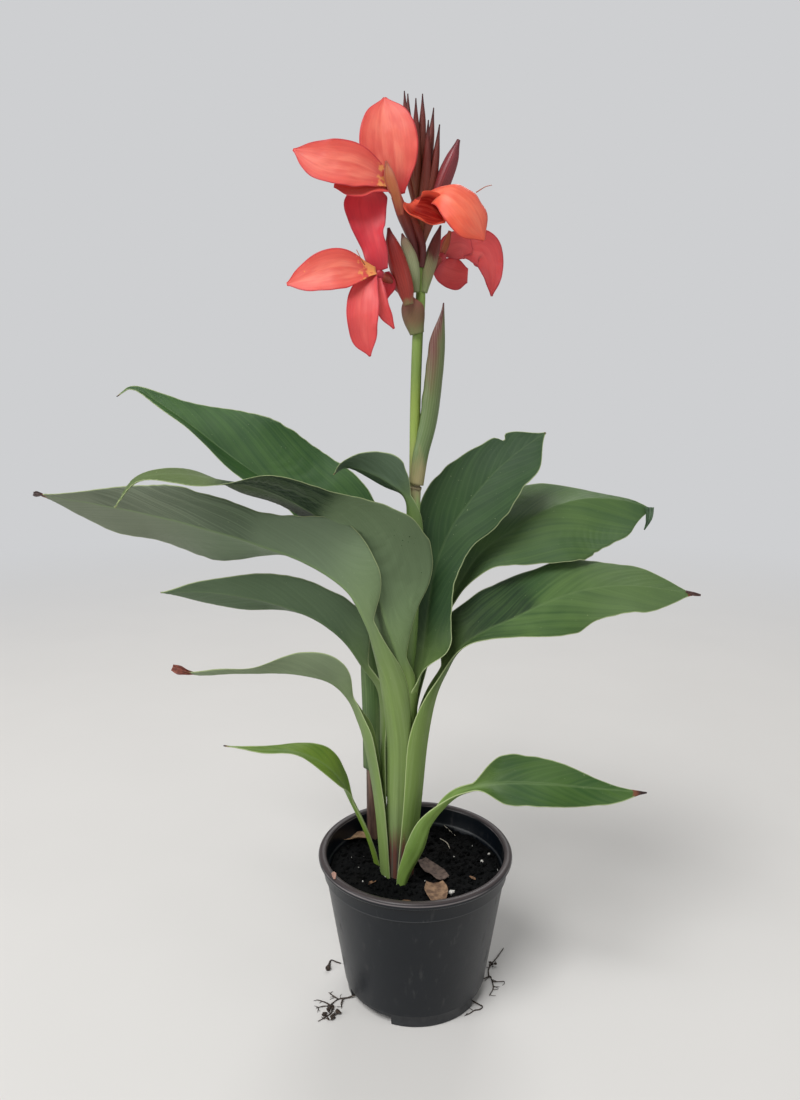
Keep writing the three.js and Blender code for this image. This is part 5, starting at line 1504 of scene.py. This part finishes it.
def soil_crumbs():
    chance = random.Random(4)
    parts = []
    for _ in range(CRUMBS):
        x, y = on_soil(chance)
        size = chance.choice(CRUMB_SIZES)
        parts.append(lump((x, y, soil_height(x, y) + size * 0.2), size, chance))
    return dressed("soil_crumbs", merged(parts), SOIL_LOOK, "soil", smooth=False)


def perlite_grains():
    chance = random.Random(11)
    grains = list(PERLITE)
    for _ in range(MORE_PERLITE):
        grains.append((*on_soil(chance), chance.uniform(0.4, 0.9)))
    parts = [lump((x, y, soil_height(x, y) + size * 0.6), size, chance, detail=2) for x, y, size in grains]
    return dressed("perlite", merged(parts), PERLITE_LOOK, "soil")


def pale_threads():
    parts = []
    for thread in THREADS:
        points = [(x, y, soil_height(x, y) + 2) for x, y in thread]
        parts.append(tube(points, THREAD_RADII, count=24, sides=8))
    return dressed("pale_threads", merged(parts), THREAD_LOOK, "soil")


def scrap_strip(x, y, length, turn, half, lift):
    stations = []
    for share in (-0.5, -0.2, 0.2, 0.5):
        px = x + math.cos(math.radians(turn)) * length * share
        py = y + math.sin(math.radians(turn)) * length * share
        stations.append((px, py, soil_height(px, py) + lift, 0, 0.15, 1))
    return {"stations": stations, "half": half, "wrap": (25, 30, 34)}


def scrap_pieces():
    for k, (name, (x, y, length, turn, half, dark, light)) in enumerate(SCRAPS.items()):
        strip = scrap_strip(x, y, length, turn, half, SCRAP_LIFT)
        scrap = strip_parts(strip, thick=0.6, ruffle=0.9, pleat=0.15, seed=k + 1)
        look = plain_grain_material(name, dark, light, 5, roughness=0.8, depth=0.4)
        dressed(name.replace("dry_leaf", "scrap"), scrap, look, "dry_leaf", name)
    parts = [
        strip_parts(scrap_strip(*scrap, SMALL_SCRAP_LIFT), thick=0.4, ruffle=0.5, seed=k)
        for k, scrap in enumerate(SMALL_SCRAPS)
    ]
    look = plain_grain_material("small_scraps", rgb(92, 66, 46), rgb(140, 104, 74), 3)
    dressed("small_scraps", merged(parts), look, "dry_leaf")
    look = plain_grain_material("rim_scrap", rgb(150, 112, 100), rgb(182, 144, 130), 3)
    dressed("rim_scrap", strip_parts(RIM_SCRAP, thick=0.5, ruffle=0.3, seed=3), look, "dry_leaf")


ROOT_RADIUS = (0.75, 0.4)  # at a strand's start and at its end
ROOT_LIE = 0.7  # how far the strands sink towards the ground
ROOTLETS = {  # fine roots on each strand
    "count": 4, "start": (0.25, 1), "reach": (3, 7), "turn": 0.7, "step": 0.35, "ground": 0.5,
    "radii": (0.3, 0.25, 0.2),
}
CLUMP = {"lumps": 12, "size": (0.8, 2), "spread": (1.6, 2)}  # crumbs of peat held in the roots
CLUMPS = {
    "roots_left": [(-91, -54.6), (-84.6, -61), (-79, -53), (-86.7, -47.8)],
    "roots_right": [(84, 19)],
    "roots_front_right": [],
}
LOOSE_ROOT = [
    (-80.5, 20.8, 0.8, 0.5), (-85, 22.4, 0.9, 0.7), (-91.9, 25.7, 0.9, 0.6), (-93.3, 16, 1.8, 1.6),
    (-93.8, 9.6, 3.4, 2.8),
]


def rootlet(path, chance):
    """A fine wandering side root that starts somewhere on a strand and sinks to the ground."""
    at = spline(path, [chance.uniform(*ROOTLETS["start"])])[0]
    heading = chance.uniform(0, 2 * math.pi)
    points, reach = [at], chance.uniform(*ROOTLETS["reach"])
    for share in (0.4, 0.7, 1):
        heading += chance.uniform(-ROOTLETS["turn"], ROOTLETS["turn"])
        step = np.array([math.cos(heading), math.sin(heading), 0]) * reach * ROOTLETS["step"]
        points.append(points[-1] + step)
        points[-1][2] = mix(at[2], ROOTLETS["ground"], share)
    return tube(points, ROOTLETS["radii"], count=14, sides=6)


def roots_piece(name, strands, seed):
    """A few strands that lie on the ground, with fine side roots and clumps of peat held in them."""
    chance = random.Random(seed)
    parts = []
    for strand in strands:
        path = np.array(strand, float) * (1, 1, ROOT_LIE)
        radii = np.linspace(*ROOT_RADIUS, len(path))
        parts.append(tube(path, radii, count=60, sides=10, ridge=knobbly))
        parts += [rootlet(path, chance) for _ in range(ROOTLETS["count"])]
    for x, y in CLUMPS[name]:
        for _ in range(CLUMP["lumps"]):
            size = chance.uniform(*CLUMP["size"])
            spread_x, spread_y = CLUMP["spread"]
            middle = (x + chance.gauss(0, spread_x), y + chance.gauss(0, spread_y), size * 1.5)
            parts.append(lump(middle, size, chance))
    return dressed(name.replace("roots", "root_tangle"), merged(parts), ROOT_LOOK, "root", name)


def knobbly(angle, t):
    return 1 + 0.18 * np.sin(37 * t + np.cos(angle)) * np.sin(11 * t + 2)


# ---------------------------------------------------------------- stage, light and camera
SKY_SEEN = rgb(206, 207, 209)
SKY_LIGHT = 0.3
LIGHTS = {  # place, size and power
    "key": ((-1.5, -2.4, 4.4), 2.2, 190),
    "window": ((-3.2, -1.4, 1.3), 1.6, 33),
    "right": ((3.2, -1.6, 1.8), 1.8, 15),
    "back": ((0.6, 3.4, 3.6), 2.4, 60),
}
LIGHT_TARGET = (0, 0, 0.45)
STUDIO = {"floor": 60, "fade_start": 0.9, "fade_end": 3.2}


def area_light(name, place, size, power):
    data = bpy.data.lights.new(name, "AREA")
    data.size = size
    data.energy = power
    light = new_object(name, data)
    light.location = place
    light.rotation_euler = (Vector(LIGHT_TARGET) - Vector(place)).to_track_quat("-Z", "Y").to_euler()


def floor_material():
    """Pale paper that fades with distance from the pot into the brightness of the sky behind it."""
    s = Shader("floor")
    s.done(s.mix(s.noise(240, 2), rgb(214, 212, 209), rgb(219, 217, 214)), 0.9)
    glow = s.tree.nodes.new("ShaderNodeEmission")
    glow.inputs["Color"].default_value = SKY_SEEN
    away = s.tree.nodes.new("ShaderNodeVectorMath")
    away.operation = "LENGTH"
    s.put(away.inputs[0], s.place)
    blend = s.tree.nodes.new("ShaderNodeMixShader")
    s.put(blend.inputs[0], s.smooth(away.outputs["Value"], STUDIO["fade_start"], STUDIO["fade_end"]))
    s.put(blend.inputs[1], s.surface.outputs["BSDF"])
    s.put(blend.inputs[2], glow.outputs["Emission"])
    output = s.tree.nodes["Material Output"]
    s.put(output.inputs["Surface"], blend.outputs["Shader"])
    return s.material


def sky():
    """An even studio: the backdrop that is seen is brighter than the light that it gives."""
    world = bpy.data.worlds.new("sky")
    world.use_nodes = True
    tree = world.node_tree
    seen = tree.nodes["Background"]
    seen.inputs["Color"].default_value = SKY_SEEN
    light = tree.nodes.new("ShaderNodeBackground")
    light.inputs["Strength"].default_value = SKY_LIGHT
    path = tree.nodes.new("ShaderNodeLightPath")
    choose = tree.nodes.new("ShaderNodeMixShader")
    tree.links.new(path.outputs["Is Camera Ray"], choose.inputs[0])
    tree.links.new(light.outputs[0], choose.inputs[1])
    tree.links.new(seen.outputs[0], choose.inputs[2])
    tree.links.new(choose.outputs[0], tree.nodes["World Output"].inputs["Surface"])
    bpy.context.scene.world = world


def stage():
    bpy.ops.mesh.primitive_plane_add(size=STUDIO["floor"], location=(0, 0, 0))
    floor = bpy.context.object
    floor.name = "floor"
    floor.data.materials.append(floor_material())
    sky()
    for name, (place, size, power) in LIGHTS.items():
        area_light(name, place, size, power)


def camera():
    data = bpy.data.cameras.new("camera")
    data.sensor_width = CAMERA["sensor"]
    data.lens = CAMERA["lens"]
    eye = new_object("camera", data)
    eye.location = Vector(CAMERA["place"]) * MM
    eye.rotation_euler = (math.radians(90 - CAMERA["down"]), 0, 0)
    bpy.context.scene.camera = eye
    bpy.context.scene.view_settings.view_transform = "Standard"


def build():
    pot_piece()
    soil_piece()
    soil_crumbs()
    perlite_grains()
    pale_threads()
    scrap_pieces()
    for seed, (name, strands) in enumerate(ROOTS.items()):
        roots_piece(name, strands, seed + 20)
    dressed("loose_root", tapered(LOOSE_ROOT), ROOT_LOOK, "root")
    stem_piece("main_shoot", MAIN_SHOOT, shoot_material(), "shoot", flatten=0.8)
    stem_piece("old_shoot", OLD_SHOOT, old_shoot_material(), "old_shoot")
    for seed, (name, leaf) in enumerate(LEAVES.items()):
        leaf_piece(name, leaf, seed + 1)
    tip_curls()
    strip_piece("spathe", SPATHE, spathe_material(), "spathe")
    bud_spike()
    for seed, (name, flower) in enumerate(FLOWERS.items()):
        flower_pieces(name, flower, seed + 1)
    bract_pieces()


build()
stage()
camera()
bpy.context.view_layer.update()
